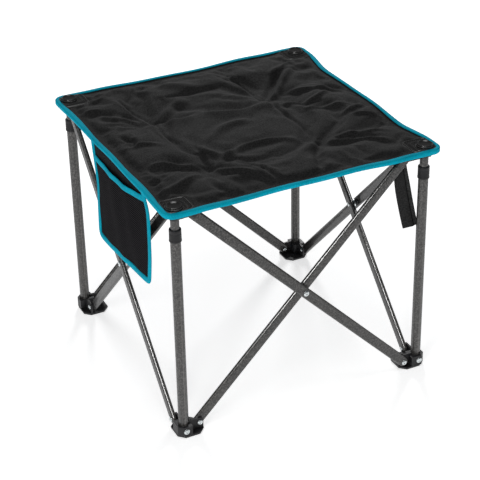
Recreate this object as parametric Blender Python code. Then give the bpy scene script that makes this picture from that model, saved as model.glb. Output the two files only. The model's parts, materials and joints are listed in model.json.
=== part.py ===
"""Folding side table: four telescoping posts, eight scissor arms and a padded fabric top.

Units are metres and +Z is up.  The origin is on the floor, under the middle of the top.  The table
repeats every quarter turn, so one corner and one side are described once and placed four times.
Corners run front_left, front_right, back_right, back_left, and side N joins corner N to corner N+1.
"""

import math

import bmesh
import bpy
from mathutils import Matrix, Vector

CORNERS = ("front_left", "front_right", "back_right", "back_left")
SIDES = ("front", "right", "back", "left")

# Frame layout
POST_SPACING = 0.500
HALF_SPACING = POST_SPACING / 2
PIVOT_INSET = 0.032          # arm pivots stand this far from the post's axis, along the side
FOOT_PIVOT_Z = 0.017
TOP_PIVOT_Z = 0.4595
FABRIC_Z = 0.4703            # underside of the fabric, just clear of the top hubs
GAP = 0.0003                 # clearance between pieces that touch

# Scissor arms: round tube pressed to a flat oval
ARM_WIDTH = 0.020
ARM_THICKNESS = 0.009
ARM_EDGE_RADIUS = 0.0040
ARM_WALL = 0.0008
ARM_HOLE_RADIUS = 0.0032
EAR_THICKNESS = 0.004
ARM_PLANE = EAR_THICKNESS / 2 + GAP + ARM_THICKNESS / 2
ARM_OUTER_FACE = ARM_PLANE + ARM_THICKNESS / 2

# Telescoping posts
LOWER_RADIUS = 0.0095
UPPER_RADIUS = 0.0080
TUBE_WALL = 0.0012
LOWER_BOTTOM_Z = 0.0043
LOWER_TOP_Z = 0.4185
UPPER_BOTTOM_Z = 0.190
UPPER_TOP_Z = 0.4657
TUBE_STEPS = 16

# Collar on the mouth of each lower tube
COLLAR_BOTTOM_Z = 0.411
COLLAR_TOP_Z = 0.436
COLLAR_RADIUS = 0.0113

# Foot hubs
BASE_CENTRE = 0.0124         # the octagonal base sits inboard of the post, in x and in y
BASE_SECTIONS = (            # height, half width, chamfer
    (0.0000, 0.0262, 0.0119),
    (0.0025, 0.0271, 0.0123),
    (0.0048, 0.0271, 0.0123),
)
BLOCK_OUTER = 0.0143
BLOCK_INNER_X = 0.0120       # on the side where the arm passes inboard
BLOCK_INNER_Y = 0.0165       # on the side where the arm passes outboard
BLOCK_CHAMFER = 0.0085
FOOT_BLOCK_TOP_Z = 0.024
EAR_RADIUS = 0.010
EAR_FOOT_Z = 0.003           # ears and block start inside the base plate
EAR_CORNER = 0.005           # round on the free corner of a foot's ear
FOOT_EAR_END = 0.0390
EAR_ROOT = 0.006             # ears start inside the block, this far from the post's axis

# Top hubs
TOP_BLOCK_BOTTOM_Z = 0.4570
TOP_BLOCK_OUTER = 0.0112
TOP_BLOCK_INNER = 0.0120
TOP_BLOCK_CHAMFER = 0.0040
TOP_BLOCK_TOP_Z = 0.4699
TOP_EAR_RADIUS = 0.0075
TOP_EAR_END = PIVOT_INSET + TOP_EAR_RADIUS
TOP_SOCKET_TOP_Z = 0.4660
TOP_PIN_RADIUS = ARM_HOLE_RADIUS - GAP
TOP_PIN_HEAD_RADIUS = 0.0048
TOP_PIN_HEAD = 0.0014

# Rivets
RIVET_SHANK_RADIUS = ARM_HOLE_RADIUS - GAP
RIVET_HEAD_RADIUS = 0.0056
RIVET_HEAD_HEIGHT = 0.0024
RIVET_TAIL_RADIUS = 0.0042
RIVET_TAIL_HEIGHT = 0.0018
SPACER_RADIUS = 0.0075
POST_RIVET_Z = 0.0142
POST_RIVET_HOLE = 0.0026
RIVET_STEPS = 10

# Corner caps
CAP_RADIUS = 0.0165
CAP_TOP_Z = 0.4830
CAP_SHANK_RADIUS = 0.0040
CAP_SHANK_BOTTOM_Z = 0.4630
CAP_HOLE_RADIUS = CAP_SHANK_RADIUS + GAP
CAP_STEPS = 18

# Padded top
PAD_HALF = 0.2732            # to the fabric's edge, inside the binding
PANEL_HALF = 0.2200          # the inner panels start here, just inboard of the frame
BORDER_THICKNESS = 0.0050
PANEL_THICKNESS = 0.0115
EDGE_CORNER_RADIUS = 0.020

# Binding sewn round the edge
BINDING_REACH = 0.0080
BINDING_THICKNESS = 0.0010
BINDING_OUTER = PAD_HALF + GAP + 0.0022

# Pocket under the left side
POCKET_FRONT_Y = -0.172
POCKET_BACK_Y = 0.068
POCKET_BOTTOM_Z = 0.272
POCKET_TOP_Z = 0.4686
POCKET_MOUTH_Z = 0.440
POCKET_INNER_X = -0.2665
POCKET_OUTER_X = -0.2750
POCKET_WALL = 0.0015

# Strap under the front side, just inboard of the arms, by the front right corner
STRAP_FRONT_Y = -0.2362
STRAP_WIDTH = 0.034
STRAP_THICKNESS = 0.003
STRAP_PATH = ((0.2050, 0.4686), (0.2175, 0.3790), (0.2360, 0.3040))     # middle line, x and z


def clear_scene():
    for obj in list(bpy.data.objects):
        bpy.data.objects.remove(obj, do_unlink=True)


def material(name, colour, roughness, metallic):
    mat = bpy.data.materials.new(name)
    mat.use_nodes = True
    shader = mat.node_tree.nodes["Principled BSDF"]
    shader.inputs["Base Color"].default_value = (*colour, 1.0)
    shader.inputs["Roughness"].default_value = roughness
    shader.inputs["Metallic"].default_value = metallic
    return mat


def mesh_from(bm, name, smooth=False):
    """Turn a bmesh into a mesh, with its faces pointing out."""
    bmesh.ops.recalc_face_normals(bm, faces=bm.faces)
    mesh = bpy.data.meshes.new(name)
    bm.to_mesh(mesh)
    bm.free()
    if smooth:
        mesh.shade_smooth()
        mesh.set_sharp_from_angle(angle=math.radians(35))
    return mesh


def lathe(name, profile, steps, closed):
    """Spin (radius, height) points about Z.  A closed profile is a ring, an open one ends on the axis."""
    bm = bmesh.new()
    points = [bm.verts.new((radius, 0.0, height)) for radius, height in profile]
    edges = [bm.edges.new(pair) for pair in zip(points, points[1:])]
    if closed:
        edges.append(bm.edges.new((points[-1], points[0])))
    bmesh.ops.spin(
        bm, geom=points + edges, cent=(0, 0, 0), axis=(0, 0, 1),
        angle=2 * math.pi, steps=steps, use_merge=True,
    )
    bmesh.ops.remove_doubles(bm, verts=bm.verts, dist=1e-6)
    return mesh_from(bm, name, smooth=True)


def prism(name, outline, start, vector):
    """Extrude a flat outline.  start maps each outline point to 3-D."""
    bm = bmesh.new()
    face = bm.faces.new([bm.verts.new(start(*point)) for point in outline])
    swept = bmesh.ops.extrude_face_region(bm, geom=[face])
    moved = [item for item in swept["geom"] if isinstance(item, bmesh.types.BMVert)]
    bmesh.ops.translate(bm, verts=moved, vec=vector)
    return mesh_from(bm, name)


def cylinder(name, radius, start, end, steps=RIVET_STEPS):
    """A plain round bar from start to end."""
    start = Vector(start)
    axis = Vector(end) - start
    bm = bmesh.new()
    bmesh.ops.create_cone(
        bm, cap_ends=True, segments=steps, radius1=radius, radius2=radius, depth=axis.length,
        matrix=Matrix.Translation(start + axis / 2) @ axis.to_track_quat("Z", "Y").to_matrix().to_4x4(),
    )
    return mesh_from(bm, name)


def arc(centre, radius, first, last, steps):
    """Points on an arc, from angle first to angle last in degrees."""
    angles = [math.radians(first + (last - first) * i / steps) for i in range(steps + 1)]
    return [(centre[0] + radius * math.cos(t), centre[1] + radius * math.sin(t)) for t in angles]


def combine(name, base, additions=(), cuts=(), smooth_angle=None):
    """Join meshes to a base and cut others away with exact Booleans, and return the finished mesh."""
    body = bpy.data.objects.new(name, base)
    bpy.context.collection.objects.link(body)
    tools = []
    for operation, meshes in (("UNION", additions), ("DIFFERENCE", cuts)):
        for mesh in meshes:
            tool = bpy.data.objects.new(name + "_tool", mesh)
            tool.hide_render = True
            tool.display_type = "WIRE"
            bpy.context.collection.objects.link(tool)
            boolean = body.modifiers.new(operation.lower(), "BOOLEAN")
            boolean.operation = operation
            boolean.object = tool
            tools.append(tool)
    evaluated = body.evaluated_get(bpy.context.evaluated_depsgraph_get())
    result = bpy.data.meshes.new_from_object(evaluated)
    for obj in [body] + tools:
        bpy.data.objects.remove(obj, do_unlink=True)
    if smooth_angle:
        result.shade_smooth()
        result.set_sharp_from_angle(angle=math.radians(smooth_angle))
    return result


def quarter(turns):
    return Matrix.Rotation(math.radians(90 * turns), 4, "Z")


def corner_frame(index):
    """From a corner's own axes, origin under its post and both sides running along +X and +Y."""
    return quarter(index) @ Matrix.Translation((-HALF_SPACING, -HALF_SPACING, 0))


def place(name, mesh, mat, matrix, parent):
    """Add a piece at its world matrix, carried by the empty that stands on its joint."""
    if not mesh.materials:
        mesh.materials.append(mat)
    obj = bpy.data.objects.new(name, mesh)
    bpy.context.collection.objects.link(obj)
    obj.parent = parent
    obj.matrix_parent_inverse = parent.matrix_world.inverted()
    obj.matrix_world = matrix
    return obj


def joint_empty(name, location):
    empty = bpy.data.objects.new(name, None)
    empty.location = location
    bpy.context.collection.objects.link(empty)
    bpy.context.view_layer.update()
    return empty


def octagon(centre, half, chamfer):
    """An octagon in a square, clockwise from the lower left."""
    corner = half - chamfer
    points = [(-half, -corner), (-half, corner), (-corner, half), (corner, half)]
    points += [(half, corner), (half, -corner), (corner, -half), (-corner, -half)]
    return [(centre + x, centre + y) for x, y in points]


def base_plate_mesh():
    """The octagonal base: one loop of points for each height, with faces between them."""
    bm = bmesh.new()
    loops = []
    for height, half, chamfer in BASE_SECTIONS:
        outline = octagon(BASE_CENTRE, half, chamfer)
        loops.append([bm.verts.new((x, y, height)) for x, y in outline])
    for lower, upper in zip(loops, loops[1:]):
        for i in range(len(lower)):
            j = (i + 1) % len(lower)
            bm.faces.new((lower[i], lower[j], upper[j], upper[i]))
    bm.faces.new(loops[0])
    bm.faces.new(loops[-1])
    return mesh_from(bm, "base_plate")


def block_mesh(bottom, top, outer, inner_x, inner_y, chamfer):
    """The block round the post, with its outer corner cut off."""
    near = outer - chamfer
    outline = [(-outer, -near), (-near, -outer), (inner_x, -outer), (inner_x, inner_y), (-outer, inner_y)]
    return prism("block", outline, lambda x, y: (x, y, bottom), (0, 0, top - bottom))


def ear_outline(end, far_z, near_z, radius):
    """An ear seen from its side: square at far_z, and with its free corner rounded at near_z."""
    up = 1 if near_z > far_z else -1
    tip = arc((end - radius, near_z - up * radius), radius, 0, 90 * up, 6)
    return [(EAR_ROOT, far_z), (end, far_z)] + tip + [(EAR_ROOT, near_z)]


def ear_meshes(outline):
    """The two ears of a hub, in the planes of its two sides."""
    half = EAR_THICKNESS / 2
    along_x = prism("ear", outline, lambda s, z: (s, -half, z), (0, EAR_THICKNESS, 0))
    along_y = prism("ear", outline, lambda s, z: (-half, s, z), (EAR_THICKNESS, 0, 0))
    return [along_x, along_y]


def foot_hub_mesh(rivet_on_x_face):
    outline = ear_outline(FOOT_EAR_END, EAR_FOOT_Z, FOOT_PIVOT_Z + EAR_RADIUS, EAR_CORNER)
    post_bore = cylinder("bore", LOWER_RADIUS + GAP, (0, 0, LOWER_BOTTOM_Z - GAP), (0, 0, 0.06), TUBE_STEPS)
    reach = 2 * EAR_THICKNESS
    pivot_x = cylinder("hole", ARM_HOLE_RADIUS, (PIVOT_INSET, -reach, FOOT_PIVOT_Z),
                       (PIVOT_INSET, reach, FOOT_PIVOT_Z))
    pivot_y = cylinder("hole", ARM_HOLE_RADIUS, (-reach, PIVOT_INSET, FOOT_PIVOT_Z),
                       (reach, PIVOT_INSET, FOOT_PIVOT_Z))
    outside = (-0.03, 0, POST_RIVET_Z) if rivet_on_x_face else (0, -0.03, POST_RIVET_Z)
    rivet_hole = cylinder("hole", POST_RIVET_HOLE, outside, (0, 0, POST_RIVET_Z))
    block = block_mesh(EAR_FOOT_Z, FOOT_BLOCK_TOP_Z, BLOCK_OUTER, BLOCK_INNER_X, BLOCK_INNER_Y, BLOCK_CHAMFER)
    additions = [block] + ear_meshes(outline)
    return combine("foot_hub", base_plate_mesh(), additions, [post_bore, pivot_x, pivot_y, rivet_hole])


def top_hub_mesh():
    """A hub under the fabric, with a headed pin on each ear for the end of one arm."""
    outline = ear_outline(TOP_EAR_END, TOP_PIVOT_Z + EAR_RADIUS, TOP_PIVOT_Z - TOP_EAR_RADIUS, TOP_EAR_RADIUS)
    pin_end = ARM_OUTER_FACE + GAP
    head_end = pin_end + TOP_PIN_HEAD
    out = (PIVOT_INSET, 0, TOP_PIVOT_Z)
    side = (0, PIVOT_INSET, TOP_PIVOT_Z)
    pins = [
        cylinder("pin", TOP_PIN_RADIUS, out, (PIVOT_INSET, -head_end, TOP_PIVOT_Z)),
        cylinder("pin", TOP_PIN_HEAD_RADIUS, (PIVOT_INSET, -pin_end, TOP_PIVOT_Z),
                 (PIVOT_INSET, -head_end, TOP_PIVOT_Z)),
        cylinder("pin", TOP_PIN_RADIUS, side, (head_end, PIVOT_INSET, TOP_PIVOT_Z)),
        cylinder("pin", TOP_PIN_HEAD_RADIUS, (pin_end, PIVOT_INSET, TOP_PIVOT_Z),
                 (head_end, PIVOT_INSET, TOP_PIVOT_Z)),
    ]
    socket = cylinder("bore", UPPER_RADIUS + GAP, (0, 0, 0.42), (0, 0, TOP_SOCKET_TOP_Z), TUBE_STEPS)
    cap_hole = cylinder("hole", CAP_HOLE_RADIUS, (0, 0, 0.45), (0, 0, 0.48))
    block = block_mesh(TOP_BLOCK_BOTTOM_Z, TOP_BLOCK_TOP_Z, TOP_BLOCK_OUTER, TOP_BLOCK_INNER,
                       TOP_BLOCK_INNER, TOP_BLOCK_CHAMFER)
    return combine("top_hub", block, ear_meshes(outline) + pins, [socket, cap_hole])


def tube_mesh(name, radius, bottom, top):
    inner = radius - TUBE_WALL
    profile = [(inner, bottom), (radius, bottom), (radius, top), (inner, top)]
    return lathe(name, profile, TUBE_STEPS, closed=True)


def lower_post_mesh():
    tube = tube_mesh("lower_post", LOWER_RADIUS, LOWER_BOTTOM_Z, LOWER_TOP_Z)
    hole = cylinder("hole", POST_RIVET_HOLE, (0, -0.02, POST_RIVET_Z), (0, -0.004, POST_RIVET_Z))
    return combine("lower_post", tube, cuts=[hole], smooth_angle=35)


def collar_mesh():
    """A sleeve over the lower tube, with a lip that closes round the upper tube."""
    sleeve = LOWER_RADIUS + GAP
    lip = UPPER_RADIUS + GAP
    step = LOWER_TOP_Z + GAP
    profile = [
        (sleeve, COLLAR_BOTTOM_Z), (COLLAR_RADIUS - 0.0004, COLLAR_BOTTOM_Z),
        (COLLAR_RADIUS, COLLAR_BOTTOM_Z + 0.002), (COLLAR_RADIUS - 0.0003, COLLAR_TOP_Z - 0.003),
        (COLLAR_RADIUS - 0.0016, COLLAR_TOP_Z), (lip, COLLAR_TOP_Z), (lip, step), (sleeve, step),
    ]
    return lathe("collar", profile, TUBE_STEPS, closed=True)


def cap_mesh():
    """The corner button: a low dome in a ringed rim, on a shank that screws down into the hub."""
    top = CAP_TOP_Z
    rim_bottom = FABRIC_Z + BORDER_THICKNESS + GAP
    profile = [
        (0, top), (0.0060, top - 0.0004), (0.0100, top - 0.0014), (0.0126, top - 0.0031),
        (0.0134, top - 0.0046), (0.0143, top - 0.0041), (0.0157, top - 0.0042),
        (CAP_RADIUS, top - 0.0056), (CAP_RADIUS, rim_bottom), (CAP_SHANK_RADIUS, rim_bottom),
        (CAP_SHANK_RADIUS, CAP_SHANK_BOTTOM_Z), (0, CAP_SHANK_BOTTOM_Z),
    ]
    return lathe("cap", profile, CAP_STEPS, closed=False)


def arm_passage(length):
    """The hollow inside an arm, open at both ends."""
    reach_y = ARM_THICKNESS / 2 - ARM_WALL
    reach_z = ARM_WIDTH / 2 - ARM_WALL
    radius = ARM_EDGE_RADIUS - ARM_WALL
    section = []
    for quadrant, (y, z) in enumerate(((1, 1), (-1, 1), (-1, -1), (1, -1))):
        centre = (y * (reach_y - radius), z * (reach_z - radius))
        section += arc(centre, radius, 90 * quadrant, 90 * quadrant + 90, 2)
    return prism("passage", section, lambda y, z: (-length, y, z), (2 * length, 0, 0))


def arm_mesh(length):
    """A flat-oval tube along X, with round ends and three rivet holes, centred on its middle hole."""
    radius = ARM_WIDTH / 2
    outline = arc((length / 2, 0), radius, -90, 90, 6) + arc((-length / 2, 0), radius, 90, 270, 6)
    half = ARM_THICKNESS / 2
    blank = prism("arm", outline, lambda x, z: (x, -half, z), (0, ARM_THICKNESS, 0))
    bm = bmesh.new()
    bm.from_mesh(blank)
    rims = [edge for edge in bm.edges if abs(edge.verts[0].co.y - edge.verts[1].co.y) < 1e-6]
    bmesh.ops.bevel(bm, geom=rims, offset=ARM_EDGE_RADIUS, segments=2, profile=0.5, affect="EDGES")
    rounded = mesh_from(bm, "arm")
    holes = [
        cylinder("hole", ARM_HOLE_RADIUS, (x, -0.02, 0), (x, 0.02, 0))
        for x in (-length / 2, 0, length / 2)
    ]
    return combine("arm", rounded, cuts=holes + [arm_passage(length)], smooth_angle=35)


def rivet_mesh(name, grip, spacer=False):
    """A rivet along Z with its head at +Z, and the pieces it holds filling the grip about z = 0."""
    half = grip / 2
    profile = [
        (0, half + RIVET_HEAD_HEIGHT), (0.6 * RIVET_HEAD_RADIUS, half + 0.85 * RIVET_HEAD_HEIGHT),
        (RIVET_HEAD_RADIUS, half + 0.3 * RIVET_HEAD_HEIGHT), (RIVET_HEAD_RADIUS, half),
        (RIVET_SHANK_RADIUS, half),
    ]
    if spacer:
        reach = EAR_THICKNESS / 2
        profile += [(RIVET_SHANK_RADIUS, reach), (SPACER_RADIUS, reach)]
        profile += [(SPACER_RADIUS, -reach), (RIVET_SHANK_RADIUS, -reach)]
    profile += [
        (RIVET_SHANK_RADIUS, -half), (RIVET_TAIL_RADIUS, -half),
        (RIVET_TAIL_RADIUS, -half - 0.6 * RIVET_TAIL_HEIGHT), (0, -half - RIVET_TAIL_HEIGHT),
    ]
    return lathe(name, profile, RIVET_STEPS, closed=False)


def post_rivet_mesh():
    """A short blind rivet from the block's outer face into the lower tube, head at +Z."""
    face = BLOCK_OUTER + GAP
    shank = POST_RIVET_HOLE - GAP
    inside = LOWER_RADIUS - TUBE_WALL - 0.0008
    profile = [
        (0, face + 0.0020), (0.0036, face + 0.0017), (0.0056, face + 0.0007), (0.0056, face),
        (shank, face), (shank, inside), (0, inside),
    ]
    return lathe("post_rivet", profile, RIVET_STEPS, closed=False)


def rounded_square(half, radius, steps=5):
    """A square with round corners, counter-clockwise from the right-hand side."""
    reach = half - radius
    points = []
    for i, (sx, sy) in enumerate(((1, 1), (-1, 1), (-1, -1), (1, -1))):
        points += arc((sx * reach, sy * reach), radius, 90 * i, 90 * i + 90, steps)
    return points


def pad_border_mesh():
    """The flat margin of the top: a square ring with a hole at each corner for the cap's shank."""
    outline = rounded_square(PAD_HALF, EDGE_CORNER_RADIUS)
    slab = prism("border", outline, lambda x, y: (x, y, FABRIC_Z), (0, 0, BORDER_THICKNESS))
    half = PANEL_HALF
    square = [(-half, -half), (half, -half), (half, half), (-half, half)]
    cuts = [prism("opening", square, lambda x, y: (x, y, 0.45), (0, 0, 0.05))]
    for i in range(4):
        centre = corner_frame(i) @ Vector((0, 0, 0))
        cuts.append(cylinder("hole", CAP_HOLE_RADIUS, (centre.x, centre.y, 0.45), (centre.x, centre.y, 0.50)))
    return combine("pad_border", slab, cuts=cuts)


def panel_mesh(second_half):
    """Half of one side's triangle of padding: corner, middle of the side, centre of the table."""
    near = PANEL_HALF - GAP
    lean = GAP * math.sqrt(2)
    outline = [(-near + lean, -near), (-GAP, -near), (-GAP, -lean - GAP)]
    if second_half:
        outline = [(-x, y) for x, y in outline]
    return prism("pad_panel", outline, lambda x, y: (x, y, FABRIC_Z), (0, 0, PANEL_THICKNESS))


def binding_mesh():
    """A tape folded round the fabric's edge: a U-shaped section carried round a rounded square."""
    low = FABRIC_Z - GAP
    high = FABRIC_Z + BORDER_THICKNESS + GAP
    inner = BINDING_OUTER - BINDING_REACH
    web = PAD_HALF + GAP
    section = [
        (inner, low), (web, low), (web, high), (inner, high), (inner, high + BINDING_THICKNESS),
        (BINDING_OUTER, high + BINDING_THICKNESS), (BINDING_OUTER, low - BINDING_THICKNESS),
        (inner, low - BINDING_THICKNESS),
    ]
    bm = bmesh.new()
    loops = []
    for half, height in section:
        radius = EDGE_CORNER_RADIUS + half - PAD_HALF
        loops.append([bm.verts.new((x, y, height)) for x, y in rounded_square(half, radius)])
    for a, b in zip(loops, loops[1:] + loops[:1]):
        for i in range(len(a)):
            j = (i + 1) % len(a)
            bm.faces.new((a[i], a[j], b[j], b[i]))
    return mesh_from(bm, "binding")


def pocket_mesh():
    """A flat pouch, open at the top, with a lower mouth on its outer wall."""
    depth = POCKET_OUTER_X - POCKET_INNER_X
    span = POCKET_BACK_Y - POCKET_FRONT_Y
    back = [(POCKET_FRONT_Y, POCKET_BOTTOM_Z), (POCKET_BACK_Y, POCKET_BOTTOM_Z)]
    back += [(POCKET_BACK_Y, POCKET_TOP_Z), (POCKET_FRONT_Y, POCKET_TOP_Z)]
    body = prism("pocket", back, lambda y, z: (POCKET_INNER_X, y, z), (depth, 0, 0))
    hollow = [(POCKET_FRONT_Y + POCKET_WALL, POCKET_BOTTOM_Z + POCKET_WALL)]
    hollow += [(POCKET_FRONT_Y + span - POCKET_WALL, POCKET_BOTTOM_Z + POCKET_WALL)]
    hollow += [(POCKET_FRONT_Y + span - POCKET_WALL, 0.5), (POCKET_FRONT_Y + POCKET_WALL, 0.5)]
    cavity = prism("cavity", hollow, lambda y, z: (POCKET_INNER_X - POCKET_WALL, y, z),
                   (depth + 2 * POCKET_WALL, 0, 0))
    above = [(POCKET_FRONT_Y - 0.01, POCKET_MOUTH_Z), (POCKET_BACK_Y + 0.01, POCKET_MOUTH_Z)]
    above += [(POCKET_BACK_Y + 0.01, 0.5), (POCKET_FRONT_Y - 0.01, 0.5)]
    mouth = prism("mouth", above, lambda y, z: (POCKET_INNER_X - POCKET_WALL, y, z), (depth, 0, 0))
    return combine("pocket", body, cuts=[cavity, mouth])


def strap_mesh():
    """A doubled strap that hangs from the fabric and leans towards the corner."""
    half = STRAP_WIDTH / 2
    left = [(x - half, z) for x, z in STRAP_PATH]
    right = [(x + half, z) for x, z in reversed(STRAP_PATH)]
    return prism("strap", left + right, lambda x, z: (x, STRAP_FRONT_Y, z), (0, STRAP_THICKNESS, 0))


def along(axis):
    """Turn +Z, a rivet's head direction, to the given axis."""
    return Vector(axis).to_track_quat("Z", "Y").to_matrix().to_4x4()


def build_feet(meshes, mats):
    for i, corner in enumerate(CORNERS):
        frame = corner_frame(i)
        empty = joint_empty("foot_joint_" + corner, frame @ Vector((0, PIVOT_INSET, FOOT_PIVOT_Z)))
        on_x_face = i % 2 == 1
        face_turn = quarter(-1) if on_x_face else Matrix.Identity(4)
        hub = meshes["foot_hub_x"] if on_x_face else meshes["foot_hub_y"]
        place("foot_hub_" + corner, hub, mats["hub"], frame, empty)
        place("lower_post_" + corner, meshes["lower_post"], mats["tube"], frame @ face_turn, empty)
        place("collar_" + corner, meshes["collar"], mats["hub"], frame, empty)
        post_rivet = frame @ face_turn @ Matrix.Translation((0, 0, POST_RIVET_Z)) @ along((0, -1, 0))
        place("post_rivet_" + corner, meshes["post_rivet"], mats["rivet"], post_rivet, empty)
        middle = (ARM_OUTER_FACE - EAR_THICKNESS / 2) / 2
        inner = frame @ Matrix.Translation((PIVOT_INSET, middle, FOOT_PIVOT_Z)) @ along((0, -1, 0))
        outer = frame @ Matrix.Translation((-middle, PIVOT_INSET, FOOT_PIVOT_Z)) @ along((-1, 0, 0))
        place(f"foot_rivet_{SIDES[i]}_inner", meshes["arm_rivet"], mats["rivet"], inner, empty)
        place(f"foot_rivet_{SIDES[i - 1]}_outer", meshes["arm_rivet"], mats["rivet"], outer, empty)


def build_tops(meshes, mats):
    empties = []
    for i, corner in enumerate(CORNERS):
        frame = corner_frame(i)
        empty = joint_empty("top_joint_" + corner, frame @ Vector((0, PIVOT_INSET, TOP_PIVOT_Z)))
        place("top_hub_" + corner, meshes["top_hub"], mats["hub"], frame, empty)
        place("upper_post_" + corner, meshes["upper_post"], mats["tube"], frame, empty)
        place("corner_cap_" + corner, meshes["cap"], mats["cap"], frame, empty)
        empties.append(empty)
    return empties


def build_arms(meshes, mats):
    """On each side the inner arm climbs to the second corner and the outer arm to the first."""
    reach = HALF_SPACING - PIVOT_INSET
    rise = (TOP_PIVOT_Z - FOOT_PIVOT_Z) / 2
    angle = math.atan2(rise, reach)
    middle_z = FOOT_PIVOT_Z + rise
    for i, side in enumerate(SIDES):
        frame = quarter(i)
        foot = joint_empty(f"arm_joint_{side}_inner", frame @ Vector((-reach, -HALF_SPACING, FOOT_PIVOT_Z)))
        crossing = joint_empty(f"arm_joint_{side}_outer", frame @ Vector((0, -HALF_SPACING, middle_z)))
        inner = frame @ Matrix.Translation((0, ARM_PLANE - HALF_SPACING, middle_z))
        outer = frame @ Matrix.Translation((0, -ARM_PLANE - HALF_SPACING, middle_z))
        climb = Matrix.Rotation(-angle, 4, "Y")
        place(f"arm_{side}_inner", meshes["arm"], mats["tube"], inner @ climb, foot)
        place(f"arm_{side}_outer", meshes["arm"], mats["tube"], outer @ climb.inverted(), crossing)
        rivet = frame @ Matrix.Translation((0, -HALF_SPACING, middle_z)) @ along((0, -1, 0))
        place(f"scissor_rivet_{side}", meshes["scissor_rivet"], mats["rivet"], rivet, foot)


def build_fabric(mats, tops):
    for i, side in enumerate(SIDES):
        frame = quarter(i)
        edge = joint_empty("panel_joint_" + side, frame @ Vector((0, -PANEL_HALF, FABRIC_Z)))
        place(f"pad_panel_{side}_first", panel_mesh(False), mats["fabric"], frame, edge)
        place(f"pad_panel_{side}_second", panel_mesh(True), mats["fabric"], frame, edge)
    still = Matrix.Identity(4)
    place("pad_border", pad_border_mesh(), mats["fabric"], still, tops[0])
    place("edge_binding", binding_mesh(), mats["binding"], still, tops[0])
    place("side_pocket", pocket_mesh(), mats["mesh"], still, tops[0])
    place("closure_strap", strap_mesh(), mats["fabric"], still, tops[1])


def main():
    clear_scene()
    mats = {
        "tube": material("hammered_paint", (0.085, 0.080, 0.076), 0.42, 0.55),
        "hub": material("black_plastic", (0.018, 0.018, 0.019), 0.55, 0.0),
        "cap": material("gloss_plastic", (0.010, 0.010, 0.011), 0.22, 0.0),
        "rivet": material("zinc_steel", (0.62, 0.66, 0.67), 0.30, 1.0),
        "fabric": material("black_fabric", (0.014, 0.014, 0.015), 0.88, 0.0),
        "binding": material("teal_tape", (0.003, 0.360, 0.480), 0.75, 0.0),
        "mesh": material("pocket_mesh", (0.018, 0.018, 0.020), 0.90, 0.0),
    }
    reach = POST_SPACING - 2 * PIVOT_INSET
    arm_length = math.hypot(reach, TOP_PIVOT_Z - FOOT_PIVOT_Z)
    meshes = {
        "foot_hub_x": foot_hub_mesh(True),
        "foot_hub_y": foot_hub_mesh(False),
        "lower_post": lower_post_mesh(),
        "upper_post": tube_mesh("upper_post", UPPER_RADIUS, UPPER_BOTTOM_Z, UPPER_TOP_Z),
        "collar": collar_mesh(),
        "top_hub": top_hub_mesh(),
        "cap": cap_mesh(),
        "arm": arm_mesh(arm_length),
        "arm_rivet": rivet_mesh("arm_rivet", ARM_OUTER_FACE + EAR_THICKNESS / 2 + 2 * GAP),
        "scissor_rivet": rivet_mesh("scissor_rivet", 2 * (ARM_OUTER_FACE + GAP), spacer=True),
        "post_rivet": post_rivet_mesh(),
    }
    build_feet(meshes, mats)
    tops = build_tops(meshes, mats)
    build_arms(meshes, mats)
    build_fabric(mats, tops)


main()
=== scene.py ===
"""Folding side table: the looks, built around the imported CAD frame."""

import json
import math

import bmesh
import bpy
import numpy as np
from mathutils import Matrix, Vector

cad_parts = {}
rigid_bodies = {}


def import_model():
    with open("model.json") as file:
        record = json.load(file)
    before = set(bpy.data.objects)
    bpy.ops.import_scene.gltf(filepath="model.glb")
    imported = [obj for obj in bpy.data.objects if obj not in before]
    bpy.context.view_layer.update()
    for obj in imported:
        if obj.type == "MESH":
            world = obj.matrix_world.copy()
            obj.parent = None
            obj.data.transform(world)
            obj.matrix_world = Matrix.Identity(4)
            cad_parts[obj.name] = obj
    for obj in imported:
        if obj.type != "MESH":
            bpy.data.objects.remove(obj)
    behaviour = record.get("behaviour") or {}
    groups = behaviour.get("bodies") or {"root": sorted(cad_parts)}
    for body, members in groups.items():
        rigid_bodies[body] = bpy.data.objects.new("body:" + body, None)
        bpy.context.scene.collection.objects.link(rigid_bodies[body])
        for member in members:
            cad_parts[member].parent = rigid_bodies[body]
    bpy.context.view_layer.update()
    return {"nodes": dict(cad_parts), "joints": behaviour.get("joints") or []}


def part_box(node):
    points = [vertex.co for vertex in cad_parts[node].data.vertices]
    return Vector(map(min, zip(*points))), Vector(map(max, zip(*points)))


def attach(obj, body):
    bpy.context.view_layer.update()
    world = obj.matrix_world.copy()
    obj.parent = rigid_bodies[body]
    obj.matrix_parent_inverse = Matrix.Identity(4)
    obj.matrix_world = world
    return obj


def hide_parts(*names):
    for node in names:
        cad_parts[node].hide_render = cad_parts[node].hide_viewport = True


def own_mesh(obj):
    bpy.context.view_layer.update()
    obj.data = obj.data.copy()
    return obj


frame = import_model()

CORNERS = ("front_left", "front_right", "back_right", "back_left")
SIDES = ("front", "right", "back", "left")
HALVES = ("first", "second")
SIGNS = (-1, 1)              # the way to a side's first and second corner
MM = 0.001

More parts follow.
